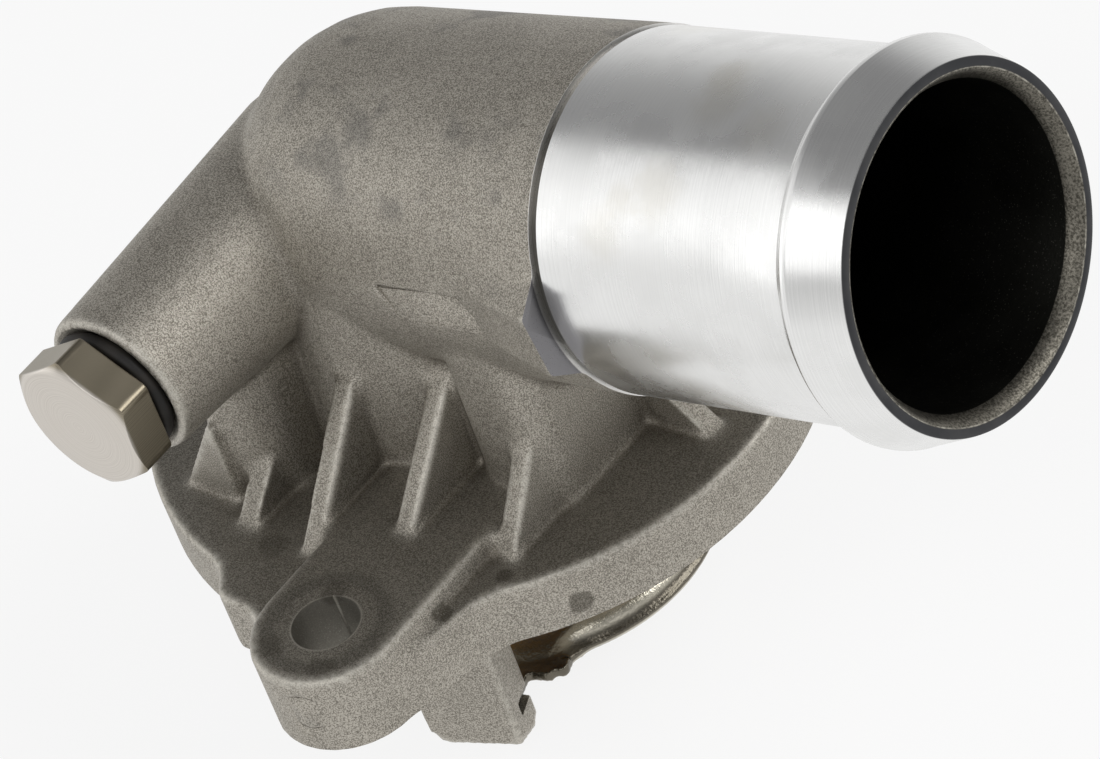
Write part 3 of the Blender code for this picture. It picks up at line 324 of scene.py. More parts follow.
def read_points(mesh):
    points = np.empty(len(mesh.vertices) * 3, np.float32)
    mesh.vertices.foreach_get("co", points)
    return points.reshape(-1, 3).astype(np.float64)


def write_points(mesh, points):
    mesh.vertices.foreach_set("co", points.astype(np.float32).ravel())
    mesh.update()


def mesh_links(mesh):
    """A mesh's edges, each point's number of neighbours, and its quads."""
    edges = np.empty(len(mesh.edges) * 2, np.int32)
    mesh.edges.foreach_get("vertices", edges)
    count = np.bincount(edges, minlength=len(mesh.vertices)).astype(np.float64)
    quads = np.empty(len(mesh.loops), np.int32)
    mesh.loops.foreach_get("vertex_index", quads)
    return edges.reshape(-1, 2), np.maximum(count, 1)[:, None], quads.reshape(-1, 4)


def neighbour_mean(values, edges, count):
    total = np.empty_like(values)
    for axis in range(values.shape[1]):
        total[:, axis] = np.bincount(edges[:, 0], values[edges[:, 1], axis], len(values))
        total[:, axis] += np.bincount(edges[:, 1], values[edges[:, 0], axis], len(values))
    return total / count


def point_normals(points, quads):
    a, b, c, d = (points[quads[:, k]] for k in range(4))
    face = np.cross(c - a, d - b)
    normals = np.empty_like(points)
    for axis in range(3):
        normals[:, axis] = sum(np.bincount(quads[:, k], face[:, axis], len(points)) for k in range(4))
    return normals / np.maximum(np.linalg.norm(normals, axis=1), 1e-20)[:, None]


def round_corners(mesh, fill_passes, soften_passes):
    """Fills inner corners to a fillet and softens outer ones.

    Gives back how far each point lies in a crest (above 0) or a hollow (below 0), in millimetres."""
    edges, count, quads = mesh_links(mesh)
    points = read_points(mesh)
    for number in range(fill_passes):
        if number % 4 == 0:
            normals = point_normals(points, quads)
        pull = neighbour_mean(points, edges, count) - points
        rise = (pull * normals).sum(axis=1, keepdims=True)
        points += np.where(rise > 0.004 * MM, 0.55 * pull, 0)
    # Each pair of passes takes the facets' jags off without shrinking the shape
    for share in (0.55, -0.58) * STEADY_PAIRS + (0.5,) * soften_passes:
        points += share * (neighbour_mean(points, edges, count) - points)
    smooth = points.copy()
    for _ in range(6):
        smooth = neighbour_mean(smooth, edges, count)
    normals = point_normals(points, quads)
    crest = ((points - smooth) * normals).sum(axis=1, keepdims=True)
    for _ in range(2):
        crest = neighbour_mean(crest, edges, count)
    write_points(mesh, points)
    return crest[:, 0] / MM


def carry_over(mesh, name, points, values):
    """Gives a thinner mesh the values of the nearest points of the fuller one."""
    tree = kdtree.KDTree(len(points))
    for number, point in enumerate(points):
        tree.insert(point, number)
    tree.balance()
    nearest = [tree.find(vert.co)[1] for vert in mesh.vertices]
    layer = mesh.attributes.new(name, "FLOAT", "POINT")
    layer.data.foreach_set("value", values[nearest].astype(np.float32))


def hole_cutters(low, high, radius, facets):
    return [rod("bolt_hole", radius, low, high, facets, place) for place in EAR_FRAMES]


def slot_cutters(inner, half_width, low, high):
    outer = LEG_INNER + SLOT_DEPTH
    return [bar("slot", inner, outer, half_width, low, high, place) for place in LEG_FRAMES]


def seal_groove(low):
    return band("seal_groove", GROOVE_INNER, GROOVE_OUTER, low, GROOVE_DEPTH, 144)


def water_way():
    """The hollow inside the casting, taken from the frame's own solid."""
    low = -1 * MM
    dome = arc(0, ELBOW_HEIGHT, CORE_RADIUS - 0.1 * MM, 90 * DEG, 0, 16)
    core = turned("water_way", [*dome, (CORE_RADIUS, low), (0, low)], 112)
    branches = [
        rod("neck_core", CORE_RADIUS, 2 * MM, NECK_STEP + CORE_OVERRUN, 72, NECK),
        rod("boss_core", BOSS_CORE_RADIUS, 5 * MM, BOSS_RIM_Y + MM, 64, BOSS),
    ]
    boolean(core, branches, "UNION")
    return boolean(core, [], keep=[housing])


def blank_recess():
    """The recess on the neck's side: a flat that runs out below and left, and a line round the rest."""
    c = RECESS_CORNER
    top = RECESS_UPPER
    flat = [
        (RECESS_LOWER, RECESS_START + 1.2 * c),
        (RECESS_LOWER, RECESS_END),
        (top + 2 * c, RECESS_END),
        (top, RECESS_END - 1.1 * c),
        (top, RECESS_START + 0.3 * c),
        (top + 0.3 * c, RECESS_START),
    ]
    line = [
        (top, RECESS_START),
        (top, RECESS_END - 1.1 * c),
        (top + 2 * c, RECESS_END + 0.1 * c),
        (top + 2 * c, RECESS_END - RECESS_LINE / 2),
        (top + RECESS_LINE, RECESS_END - 1.1 * c - RECESS_LINE),
        (top + 1.3 * RECESS_LINE, RECESS_START),
    ]
    turn = Matrix.Rotation(RECESS_TURN, 4, "Z") @ Matrix.Rotation(RECESS_TILT, 4, "X")
    place = NECK @ turn @ ALONG_X
    high = RECESS_SIDE + 4 * MM
    return [
        plate("blank_recess", flat, RECESS_SIDE, high, place),
        plate("recess_line", line, RECESS_SIDE - 0.3 * MM, high, place),
    ]


def ejector_mark():
    """The fine ring that an ejector pin leaves on the front ear's end wall."""
    out = Vector((2.01, -7.74, 0)).normalized()
    middle = Matrix.Translation((EAR_X, -EAR_HOLE_Y, EJECTOR_HEIGHT))
    place = middle @ out.to_track_quat("Z", "Y").to_matrix().to_4x4()
    inner = EJECTOR_RADIUS - EJECTOR_LINE
    outer = EJECTOR_RADIUS + EJECTOR_LINE
    return band("ejector_mark", inner, outer, EJECTOR_FLOOR, 9 * MM, 48, place)


def step_run_out():
    """The casting's section before the step, run on past it, so that the lathe cuts a crisp edge."""
    near = NECK_STEP - 1.5 * MM
    far = NECK_STEP - 0.05 * MM
    slab = rod("step_run_out", 22 * MM, near, far, 64, NECK)
    boolean(slab, [], "INTERSECT", keep=[housing])
    slab.data.transform(Matrix.Translation(NECK.to_3x3().col[2] * RUN_OUT))
    return slab


def flange_run_out():
    """The flange's section above its underside, run on down, so that the mill cuts a crisp edge."""
    slab = plate("flange_run_out", circle(55 * MM, 48), 0.05 * MM, 1.5 * MM)
    boolean(slab, [], "INTERSECT", keep=[housing])
    slab.data.transform(Matrix.Translation((0, 0, -RUN_OUT)))
    return slab


def facing_cut():
    """What the mill takes off the underside, all but the legs that stand down through it."""
    mill = plate("facing_cut", circle(58 * MM, 48), -2.4 * MM, 0)
    near = LEG_INNER - ROOM_INSIDE_LEG
    room = (near, LEG_OUTER, 7 * MM, -3 * MM, 0.5 * MM)
    return boolean(mill, [bar("leg_room", *room, place) for place in LEG_FRAMES])


def casting_fills():
    """Plugs for everything that is cut crisp again after the skin is rounded."""
    near = 5 * MM
    far = 30 * MM
    slope = (NECK_CAST_RADIUS - ELBOW_RADIUS) / NECK_STEP
    start = ELBOW_RADIUS - 0.02 * MM
    neck = [(0, far), (start + slope * far, far), (start + slope * near, near), (0, near)]
    hole = BOLT_HOLE_RADIUS + 0.5 * MM
    slot = (LEG_HALF_WIDTH - 0.15 * MM, SLOT_BOTTOM - 0.2 * MM, SLOT_TOP + 0.2 * MM)
    return [
        turned("neck_fill", neck, 112, NECK),
        rod("neck_core", CORE_RADIUS, 0, NECK_STEP + CORE_OVERRUN, 96, NECK),
        rod("tower_core", CORE_RADIUS, 0, ELBOW_HEIGHT, 96),
        rod("boss_core", BOSS_CORE_RADIUS, 0, BOSS_RIM_Y, 64, BOSS),
        seal_groove(-RUN_OUT),
        step_run_out(),
        flange_run_out(),
        *hole_cutters(-RUN_OUT, EAR_TOP, hole, 32),
        *slot_cutters(LEG_INNER, *slot),
    ]


def inner_share(mesh):
    """1 where the surface is inside the water way, which is painted nearly black as shade."""
    points = read_points(mesh)
    x, y, z = points.T
    axis = np.array(NECK.to_3x3().col[2])
    from_elbow = points - np.array(NECK.translation)
    along = from_elbow @ axis
    off_axis = np.linalg.norm(from_elbow - along[:, None] * axis, axis=1)
    in_neck = (off_axis < NECK_BORE_RADIUS + 0.1 * MM) & (along > 0) & (along < NECK_STEP + MM)
    in_chamber = (np.hypot(x, y) < CHAMBER_RADIUS + 0.4 * MM) & (z < ELBOW_HEIGHT) & (z > 1 * MM)
    in_ball = np.linalg.norm(from_elbow, axis=1) < NECK_BORE_RADIUS + 0.1 * MM
    layer = mesh.attributes.new("inside", "FLOAT", "POINT")
    layer.data.foreach_set("value", (in_neck | in_chamber | in_ball).astype(np.float32))


def casting_skin():
    """The casting outside the turned neck: the solid's shape with the die's soft corners."""
    skin = joined("casting_skin", casting_fills(), keep=[housing])
    reskinned(skin, SKIN_FACET)
    crest = round_corners(skin.data, FILL_PASSES, SOFTEN_PASSES)
    full_points = read_points(skin.data)
    thinned(skin, SKIN_TRIANGLES)
    far = 90 * MM
    tools = [
        plate("lathe_cut", circle(30 * MM, 24), NECK_STEP, far, NECK),
        water_way(),
        *blank_recess(),
        ejector_mark(),
        *hole_cutters(-far, far, BOLT_HOLE_RADIUS, 72),
        *slot_cutters(LEG_INNER - ROOM_INSIDE_LEG, LEG_HALF_WIDTH + 3 * MM, SLOT_BOTTOM, SLOT_TOP),
        facing_cut(),
        seal_groove(-1.3 * MM),
    ]
    boolean(skin, tools)
    skin.data.shade_smooth()
    # The lathe's face is flat, so it is shaded flat
    axis = NECK.to_3x3().col[2]
    for face in skin.data.polygons:
        along = (face.center - NECK.translation).dot(axis)
        if face.normal.dot(axis) > 0.999 and along > NECK_STEP - 0.01 * MM:
            face.use_smooth = False
    skin.data.set_sharp_from_angle(angle=36 * DEG)
    carry_over(skin.data, "crest", full_points, crest)
    inner_share(skin.data)
    return skin


def bead_profile(steps):
    """The hose bead's soft flare up to its crest."""
    rise = BEAD_RADIUS - NECK_RADIUS
    length = BEAD_CREST - BEAD_START
    points = []
    for s in [i / steps for i in range(steps + 1)]:
        swell = (1 - math.cos(math.pi * s)) / 2
        points.append((NECK_RADIUS + rise * swell, BEAD_START + length * s))
    return points


def turned_neck():
    """The neck as the lathe leaves it: relief, bead, end face, mouth and bore."""
    edge = 0.25 * MM
    crest = BEAD_CREST + BEAD_FLAT
    relief = NECK_STEP + RELIEF_WIDTH
    floor = NECK_RADIUS - RELIEF_DEPTH
    mouth_edge = 0.15 * MM
    profile = [
        (NECK_BORE_RADIUS, NECK_STEP - 0.2 * MM),
        (NECK_BORE_RADIUS, NECK_END - NECK_MOUTH_DEPTH),
        (NECK_MOUTH_RADIUS - mouth_edge, NECK_END - mouth_edge),
        (NECK_MOUTH_RADIUS + mouth_edge, NECK_END),
        (NECK_END_RADIUS - edge, NECK_END),
        (NECK_END_RADIUS - 0.07 * MM, NECK_END - 0.07 * MM),
        (NECK_END_RADIUS, NECK_END - edge),
        (BEAD_RADIUS - 0.12 * MM, crest + 0.35 * MM),
        *arc(BEAD_RADIUS - 0.4 * MM, crest, 0.4 * MM, 20 * DEG, 0, 3),
        *bead_profile(10)[::-1],
        (NECK_RADIUS, BEAD_START - 8 * MM),
        (NECK_RADIUS, NECK_STEP + 12 * MM),
        (NECK_RADIUS, relief + RELIEF_DEPTH),
        (NECK_RADIUS - 0.08 * MM, relief + RELIEF_DEPTH - 0.05 * MM),
        (floor, relief + 0.02 * MM),
        (floor - 0.02 * MM, relief),
        (floor - 0.02 * MM, NECK_STEP - 0.2 * MM),
    ]
    neck = turned("turned_neck", profile, 240, NECK, closed=True)
    neck.data.set_sharp_from_angle(angle=32 * DEG)
    return neck


def hexagon_reach(angle):
    """How far a hexagon with a corner at angle 0 reaches."""
    return PLUG_ACROSS_FLATS / 2 / math.cos(angle % (60 * DEG) - 30 * DEG)


def plug_head():
    """Hexagon head with a turned chamfer and softened corners."""
    face = PLUG_BASE + PLUG_HEAD
    inscribed = PLUG_ACROSS_FLATS / 2 - 0.2 * MM
    slope = math.tan(30 * DEG)
    corner = PLUG_ACROSS_FLATS / 2 / math.cos(30 * DEG) - 0.12 * MM
    facets = 240
    angles = [math.tau * (i + 0.5) / facets for i in range(facets)]
    reach = [min(hexagon_reach(a - 90 * DEG), corner) for a in angles]
    base_edge = 0.12 * MM
    levels = [
        [(r - 2 * base_edge, PLUG_BASE) for r in reach],
        [(r - base_edge / 2, PLUG_BASE + base_edge / 2) for r in reach],
        [(r, PLUG_BASE + 1.5 * base_edge) for r in reach],
        [(r, face - (r - inscribed) * slope - 0.05 * MM) for r in reach],
        [(r - 0.05 * MM, face - (r - inscribed) * slope + 0.01 * MM) for r in reach],
        [(inscribed + 0.05 * MM, face - 0.04 * MM) for _ in reach],
        [(inscribed - 0.12 * MM, face) for _ in reach],
        [(inscribed * 0.6, face) for _ in reach],
        [(inscribed * 0.25, face) for _ in reach],
    ]
    bm = bmesh.new()
    rings = []
    for level in levels:
        points = [(r * math.cos(a), r * math.sin(a), z) for a, (r, z) in zip(angles, level)]
        rings.append([bm.verts.new(point) for point in points])
    join_rings(bm, rings)
    return object_from("plug_head", bm, BOSS)


def plug_shank():
    """The shank with its real thread, from the undercut under the head to its lead-in."""
    around = 48
    top = PLUG_BASE + MM
    thread_top = BOSS_RIM_Y - 3.2 * MM
    steps = 120
    lead = 0.9 * MM
    bm = bmesh.new()
    rings = []
    for k in range(steps + 1):
        z = PLUG_SHANK_END + (top - PLUG_SHANK_END) * k / steps
        ring = []
        for i in range(around):
            phase = (z / THREAD_PITCH - i / around) % 1
            flank = abs(2 * phase - 1)
            radius = PLUG_SHANK_RADIUS - THREAD_DEPTH * min(1, max(0, (flank - 0.1) / 0.8))
            radius = min(radius, PLUG_SHANK_RADIUS - lead + (z - PLUG_SHANK_END))
            if z > thread_top:
                radius = PLUG_SHANK_RADIUS - THREAD_DEPTH
            angle = math.tau * i / around
            ring.append(bm.verts.new((radius * math.cos(angle), radius * math.sin(angle), z)))
        rings.append(ring)
    join_rings(bm, rings)
    return object_from("plug_shank", bm, BOSS)


def dressed_plug():
    plug = joined("dressed_plug", [plug_head(), plug_shank()])
    plug.data.shade_smooth()
    plug.data.set_sharp_from_angle(angle=24 * DEG)
    return plug


def o_ring():
    section = arc(RING_RADIUS, RING_MIDDLE, RING_SECTION, math.pi, -math.pi, 20)[:-1]
    return turned("o_ring", section, 96, BOSS, closed=True)


def coil_spring():
    """The drawn wire, wound with a flat turn at each end."""
    per_turn = 44
    around = 18
    count = round(SPRING_TURNS * per_turn) + 1
    active = SPRING_TURNS - 2 * SPRING_FLAT_TURNS
    bm = bmesh.new()
    rings = []
    for number in range(count):
        turns = number / per_turn
        share = min(1, max(0, (turns - SPRING_FLAT_TURNS) / active))
        share = share * share * (3 - 2 * share)
        angle = turns * math.tau
        height = SPRING_BOTTOM + (SPRING_TOP - SPRING_BOTTOM) * share
        out = Vector((math.cos(angle), math.sin(angle), 0))
        up = Vector((0, 0, 1))
        centre = out * SPRING_RADIUS + up * height
        turn = [math.tau * k / around for k in range(around)]
        section = [centre + (out * math.cos(t) + up * math.sin(t)) * SPRING_WIRE for t in turn]
        rings.append([bm.verts.new(point) for point in section])
    join_rings(bm, rings)
    spring = object_from("coil_spring", bm)
    spring.data.set_sharp_from_angle(angle=50 * DEG)
    return spring


def dish_side(depth):
    """One face of the stamped section from its hole to its brim, this deep under the top face."""
    floor = DISH_FLOOR + SHEET
    roll_z = DISH_FLOOR + ROLL_RISE
    flare_reach = ROLL_RADIUS + FLARE_RADIUS
    flare_r = ROLL_MIDDLE + flare_reach * math.cos(ROLL_END)
    flare_z = roll_z + flare_reach * math.sin(ROLL_END)
    brim_normal = 270 * DEG - BRIM_SLOPE
    flare = arc(flare_r, flare_z, FLARE_RADIUS + depth, math.pi + ROLL_END, brim_normal, 6)
    end_r, end_z = flare[-1]
    brim = (end_r + BRIM_WIDTH * math.cos(BRIM_SLOPE), end_z - BRIM_WIDTH * math.sin(BRIM_SLOPE))
    return [
        (DISH_HOLE_RADIUS, floor - depth),
        *arc(DISH_WALL - DISH_BEND, floor + DISH_BEND, DISH_BEND + depth, -90 * DEG, 0, 8),
        *arc(ROLL_MIDDLE, roll_z, ROLL_RADIUS - depth, math.pi, ROLL_END, 20),
        *flare[1:],
        brim,
    ]


def pressed_side(depth):
    """The same face where the rim is opened out into an arm, point for point."""
    floor = DISH_FLOOR + SHEET
    bend = arc(DISH_WALL + ARM_BEND, ARM_CREST - ARM_BEND, ARM_BEND - depth, math.pi, 90 * DEG, 8)
    steps = 19
    start = bend[-1][0]
    shares = [(i + 1) / steps for i in range(steps)]
    return [
        (DISH_HOLE_RADIUS, floor - depth),
        *arc(DISH_WALL - DISH_BEND, floor + DISH_BEND, DISH_BEND + depth, -90 * DEG, 0, 8),
        *bend,
        *[(start + (ARM_REACH - start) * s, ARM_CREST - ARM_FALL * s * s - depth) for s in shares],
    ]


def pressed_share(angle):
    """1 at an arm, 0 where the rim is rolled, by the distance sideways from the arm's middle."""
    side = abs(math.sin(angle - LEG_ANGLE)) * ROLL_MIDDLE
    share = min(1, max(0, (ROLLED_HALF_WIDTH - side) / (ROLLED_HALF_WIDTH - PRESSED_HALF_WIDTH)))
    return share * share * (3 - 2 * share)


def stamped_dish(facets):
    """The dish with its rolled rim, which opens out into an arm at each leg."""
    rolled = dish_side(0) + dish_side(SHEET)[::-1]
    pressed = pressed_side(0) + pressed_side(SHEET)[::-1]
    bm = bmesh.new()
    rings = []
    for number in range(facets):
        angle = math.tau * number / facets
        share = pressed_share(angle)
        ring = []
        for (r0, z0), (r1, z1) in zip(rolled, pressed):
            r = r0 + (r1 - r0) * share
            z = z0 + (z1 - z0) * share
            ring.append(bm.verts.new((r * math.cos(angle), r * math.sin(angle), z)))
        rings.append(ring)
    join_rings(bm, rings, closed=True)
    return object_from("stamped_bridge", bm)


def window_outline(centre):
    """A flow window through the dish's floor: a curved slot with round ends."""
    middle = (WINDOW_INNER + WINDOW_OUTER) / 2
    half = (WINDOW_OUTER - WINDOW_INNER) / 2
    start = centre - WINDOW_SPAN / 2
    end = centre + WINDOW_SPAN / 2
    first = (middle * math.cos(start), middle * math.sin(start))
    last = (middle * math.cos(end), middle * math.sin(end))
    return [
        *arc(0, 0, WINDOW_OUTER, start, end, 14),
        *arc(*last, half, end, end + math.pi, 8)[1:-1],
        *arc(0, 0, WINDOW_INNER, end, start, 14),
        *arc(*first, half, start + math.pi, start + math.tau, 8)[1:-1],
    ]


def stamped_bridge():
    """The stamped dish with its windows, its rolled rim, and a torn arm with a tab at each leg."""
    dish = stamped_dish(240)
    low = DISH_FLOOR - MM
    high = DISH_FLOOR + SHEET + MM
    cuts = []
    for number in range(WINDOW_COUNT):
        centre = LEG_ANGLE + math.pi / WINDOW_COUNT + math.tau * number / WINDOW_COUNT
        cuts.append(plate("window", window_outline(centre), low, high))
    root = ARM_REACH - 2.4 * MM
    # The corners on the side that faces the neck are torn, not cut clean
    torn = [
        (ARM_REACH, TAB_HALF_WIDTH),
        (ARM_REACH - 0.12 * MM, TAB_HALF_WIDTH + 0.9 * MM),
        (ARM_REACH + 0.05 * MM, TAB_HALF_WIDTH + 1.8 * MM),
        (ARM_REACH - 0.05 * MM, TAB_HALF_WIDTH + 2.5 * MM),
        (ARM_REACH - 0.7 * MM, TAB_HALF_WIDTH + 3.0 * MM),
        (ARM_REACH - 0.6 * MM, TAB_HALF_WIDTH + 3.6 * MM),
        (ARM_REACH - 1.1 * MM, ARM_HALF_WIDTH),
        (ARM_REACH - 2.2 * MM, ARM_HALF_WIDTH - 0.1 * MM),
    ]
    arm = [
        (root, -ARM_HALF_WIDTH),
        (ARM_REACH - ARM_CORNER, -ARM_HALF_WIDTH),
        (ARM_REACH, -ARM_HALF_WIDTH + ARM_CORNER),
        (ARM_REACH, -TAB_HALF_WIDTH),
        (TAB_REACH, -TAB_HALF_WIDTH),
        (TAB_REACH, TAB_HALF_WIDTH),
        *torn,
        (root, ARM_HALF_WIDTH),
    ]
    arms = [plate("arm", arm, ARM_TOP - SHEET, ARM_TOP, place) for place in LEG_FRAMES]
    boolean(dish, cuts)
    boolean(dish, arms, "UNION")
    reskinned(dish, SHEET_FACET)
    round_corners(dish.data, SHEET_FILL_PASSES, SHEET_SOFTEN_PASSES)
    thinned(dish, SHEET_TRIANGLES)
    return dish


def feed(socket, value):
    """Sets a socket to a plain value, or links another node's output to it."""
    if isinstance(value, bpy.types.NodeSocket):
        socket.id_data.links.new(value, socket)
    else:
        socket.default_value = value


def add_node(kind, values, tree=None, **settings):
    """One node with these values, in the tree of the outputs among them."""
    if tree is None:
        tree = next(v.id_data for v in values.values() if isinstance(v, bpy.types.NodeSocket))
    made = tree.nodes.new("ShaderNode" + kind)
    for key, value in settings.items():
        setattr(made, key, value)
    for key, value in values.items():
        feed(made.inputs[key], value)
    return made


def maths(operation, first, *others):
    """Takes the values in turn, from left to right."""
    for other in others:
        first = add_node("Math", {0: first, 1: other}, operation=operation).outputs[0]
    return first


def times(*values):
    return maths("MULTIPLY", *values)


def plus(*values):
    return maths("ADD", *values)


def minus(*values):
    return maths("SUBTRACT", *values)


def ramp(value, low, high):
    """0 at low, 1 at high, smooth between."""
    values = {"Value": value, "From Min": low, "From Max": high}
    return add_node("MapRange", values, interpolation_type="SMOOTHSTEP").outputs[0]


def noise(place, scale, detail=2.0, roughness=0.5):
    """Drifting tone; the scale counts patches in a metre."""
    values = {"Vector": place, "Scale": scale, "Detail": detail, "Roughness": roughness}
    return add_node("TexNoise", values).outputs[0]


def blend(factor, first, second):
    """From the first colour to the second."""
    made = add_node("Mix", {"Factor": factor}, data_type="RGBA")
    for number, colour in ((6, first), (7, second)):
        plain = isinstance(colour, tuple)
        feed(made.inputs[number], (*colour, 1) if plain else colour)
    return made.outputs[2]


def laid_over(colour, *layers):
    """A colour under thin layers, each given by its mask, its strength and its own colour."""
    for mask, strength, layer in layers:
        colour = blend(times(mask, strength), colour, layer)
    return colour


def part_of(vector, axis):
    return add_node("SeparateXYZ", {"Vector": vector}).outputs[axis]


def start_group(name, **inputs):
    """A shader node group that is given a position and these inputs; gives back what it is given."""
    tree = bpy.data.node_groups.new(name, "ShaderNodeTree")
    for label, value in {"Position": None, **inputs}.items():
        kind = "Vector" if value is None else "Float"
        socket = tree.interface.new_socket(label, in_out="INPUT", socket_type="NodeSocket" + kind)
        if value is not None:
            socket.default_value = value
    return tree.nodes.new("NodeGroupInput").outputs


def end_group(**results):
    """Ends the group that the results are in, with one output for each."""
    tree = next(iter(results.values())).id_data
    for label in results:
        tree.interface.new_socket(label, in_out="OUTPUT", socket_type="NodeSocketFloat")
    end = tree.nodes.new("NodeGroupOutput")
    for label, value in results.items():
        feed(end.inputs[label], value)
    return tree


def cast_grain():
    """The fine pebbled skin that a die leaves, with sparkling crystals and cloudy tone."""
    given = start_group("cast_grain", Grain=0.25 * MM)
    place = given["Position"]
    scale = maths("DIVIDE", 1.0, given["Grain"])
    fine = noise(place, scale, 2.5, 0.65)
    coarse = noise(place, 900.0)
    cloud = noise(place, 120.0, 3.0, 0.6)
    tone = plus(times(fine, 0.85), times(coarse, 0.05), times(cloud, 0.1))
    cells = add_node("TexVoronoi", {"Vector": place, "Scale": times(scale, 1.3)}).outputs
    chance = add_node("SeparateColor", {"Color": cells["Color"]}).outputs[0]
    sparkle = times(ramp(chance, 0.8, 1.0), ramp(cells["Distance"], 0.5, 0.15))
    height = plus(fine, times(coarse, 0.8))
    return end_group(Tone=tone, Height=height, Sparkle=sparkle)


def edge_wear():
    """Where handling has rubbed the crests of a surface, broken up by its grain."""
    given = start_group("edge_wear", Crest=0.0, Start=0.03, Full=0.1)
    speckle = plus(times(noise(given["Position"], 1500.0, 3.0), 1.5), 0.25)
    broken = times(given["Crest"], speckle)
    return end_group(Mask=ramp(broken, given["Start"], given["Full"]))


def stain_spot():
    """A ragged stain round one place."""
    given = start_group("stain_spot", Centre=None, Radius=MM, Edge=0.3)
    place = given["Position"]
    away = add_node("VectorMath", {0: place, 1: given["Centre"]}, operation="DISTANCE")
    share = maths("DIVIDE", away.outputs["Value"], given["Radius"])
    ragged = times(minus(noise(place, 900.0, 3.0), 0.5), 0.9)
    outer = plus(1.0, given["Edge"])
    inner = minus(1.0, given["Edge"])
    return end_group(Mask=ramp(plus(share, ragged), outer, inner))


def lathe_place():
    """A point's distance along an axis and away from it."""
    given = start_group("lathe_place", Origin=None, Axis=None)
    axis = given["Axis"]

    def vectors(operation, values, output=0):
        return add_node("VectorMath", values, operation=operation).outputs[output]

    arm = vectors("SUBTRACT", {0: given["Position"], 1: given["Origin"]})
    along = vectors("DOT_PRODUCT", {0: arm, 1: axis}, "Value")
    foot = vectors("SCALE", {0: axis, "Scale": along})
    return end_group(Along=along, Away=vectors("DISTANCE", {0: arm, 1: foot}, "Value"))


def turning_marks():
    """Fine grooves that repeat along one measure, each a little different."""
    given = start_group("turning_marks", Measure=0.0, Pitch=0.2 * MM)
    count = maths("DIVIDE", given["Measure"], given["Pitch"])
    wobble = times(noise(given["Position"], 60.0, 1.0), 0.8)
    values = {"W": plus(count, wobble), "Scale": 1.0, "Detail": 2.0}
    line = add_node("TexNoise", values, noise_dimensions="1D").outputs[0]
    return end_group(Line=line, Cloud=noise(given["Position"], 140.0, 4.0, 0.6))


def use(group, Position, **values):
    """Places a group in the material that the position belongs to, with its own values."""
    made = Position.id_data.nodes.new("ShaderNodeGroup")
    made.node_tree = group
    for key, value in (("Position", Position), *values.items()):
        feed(made.inputs[key], value)
    return made.outputs


def start_material(name, metallic):
    """A new material, and the object's own coordinates in it."""
    made = bpy.data.materials.new(name)
    made.use_nodes = True
    made.node_tree.nodes["Principled BSDF"].inputs["Metallic"].default_value = metallic
    return made, add_node("TexCoord", {}, made.node_tree).outputs["Object"]


def finish_surface(made, colour, rough, height, strength, depth):
    """Gives a material its colour, its roughness and its fine relief."""
    shader = made.node_tree.nodes["Principled BSDF"].inputs
    feed(shader["Base Color"], colour)
    feed(shader["Roughness"], rough)
    values = {"Height": height, "Strength": strength, "Distance": depth}
    feed(shader["Normal"], add_node("Bump", values).outputs[0])
    return made


GRAIN = cast_grain()
WEAR = edge_wear()
STAIN = stain_spot()
LATHE = lathe_place()
MARKS = turning_marks()

NECK_LINE = {"Origin": tuple(NECK.translation), "Axis": tuple(NECK.to_3x3().col[2])}
BOSS_LINE = {"Origin": (BOSS_X, 0, BOSS_Z), "Axis": (0, -1, 0)}

# Colours of the casting; where there are two, the tone drifts from the first to the second
CAST_SKIN = (0.205, 0.189, 0.16), (0.53, 0.498, 0.44)
# Painted shade on low faces that look up
UPWARD_FACE_SHADE = (0.09, 0.083, 0.067)
# Painted shade in hollows
HOLLOW_SHADE = (0.085, 0.07, 0.05)
HANDLING_MARK = (0.12, 0.118, 0.115)
WASHER_MARK = (0.05, 0.046, 0.036)
# Painted highlight on the bolt holes' rims, and painted shade on their walls
HOLE_RIM_HIGHLIGHT = (0.5, 0.48, 0.43)
HOLE_WALL_SHADE = (0.17, 0.16, 0.135)
STAIN_BROWN = (0.06, 0.052, 0.038)
WORN_EDGE = (0.6, 0.575, 0.515)
BRIGHT_CRYSTAL = (0.7, 0.68, 0.63)
TURNED_STEP = (0.8, 0.79, 0.77)
TURNED_BLOCK = (0.24, 0.235, 0.245)
# Painted shade inside the water way
WATER_WAY_SHADE = (0.02, 0.02, 0.019)

# Colours of the turned neck
NECK_LINES = (0.79, 0.79, 0.78), (0.835, 0.835, 0.825)
NECK_CLOUD = (0.68, 0.68, 0.665)
NECK_SMUDGE = (0.6, 0.565, 0.48)
# Painted shade in the relief groove
RELIEF_GROOVE_SHADE = (0.12, 0.115, 0.105)
# Painted shade on the end face
END_FACE_SHADE = (0.042, 0.043, 0.046), (0.066, 0.066, 0.068)
MOUTH = (0.06, 0.056, 0.046), (0.2, 0.187, 0.158)
RUBBED_LIP = (0.5, 0.48, 0.42)
# Painted shade in the bore
BORE_SHADE = (0.014, 0.014, 0.012), (0.16, 0.155, 0.135)

# Colours of the smaller pieces
PLUG_FLATS = (0.2, 0.175, 0.128), (0.3, 0.265, 0.2)
PLUG_FACE = (0.57, 0.53, 0.48), (0.66, 0.62, 0.565)
BLACK_RUBBER = (0.008, 0.007, 0.006), (0.022, 0.019, 0.016)
BRIGHT_SHEET = (0.5, 0.47, 0.39), (0.66, 0.62, 0.52)
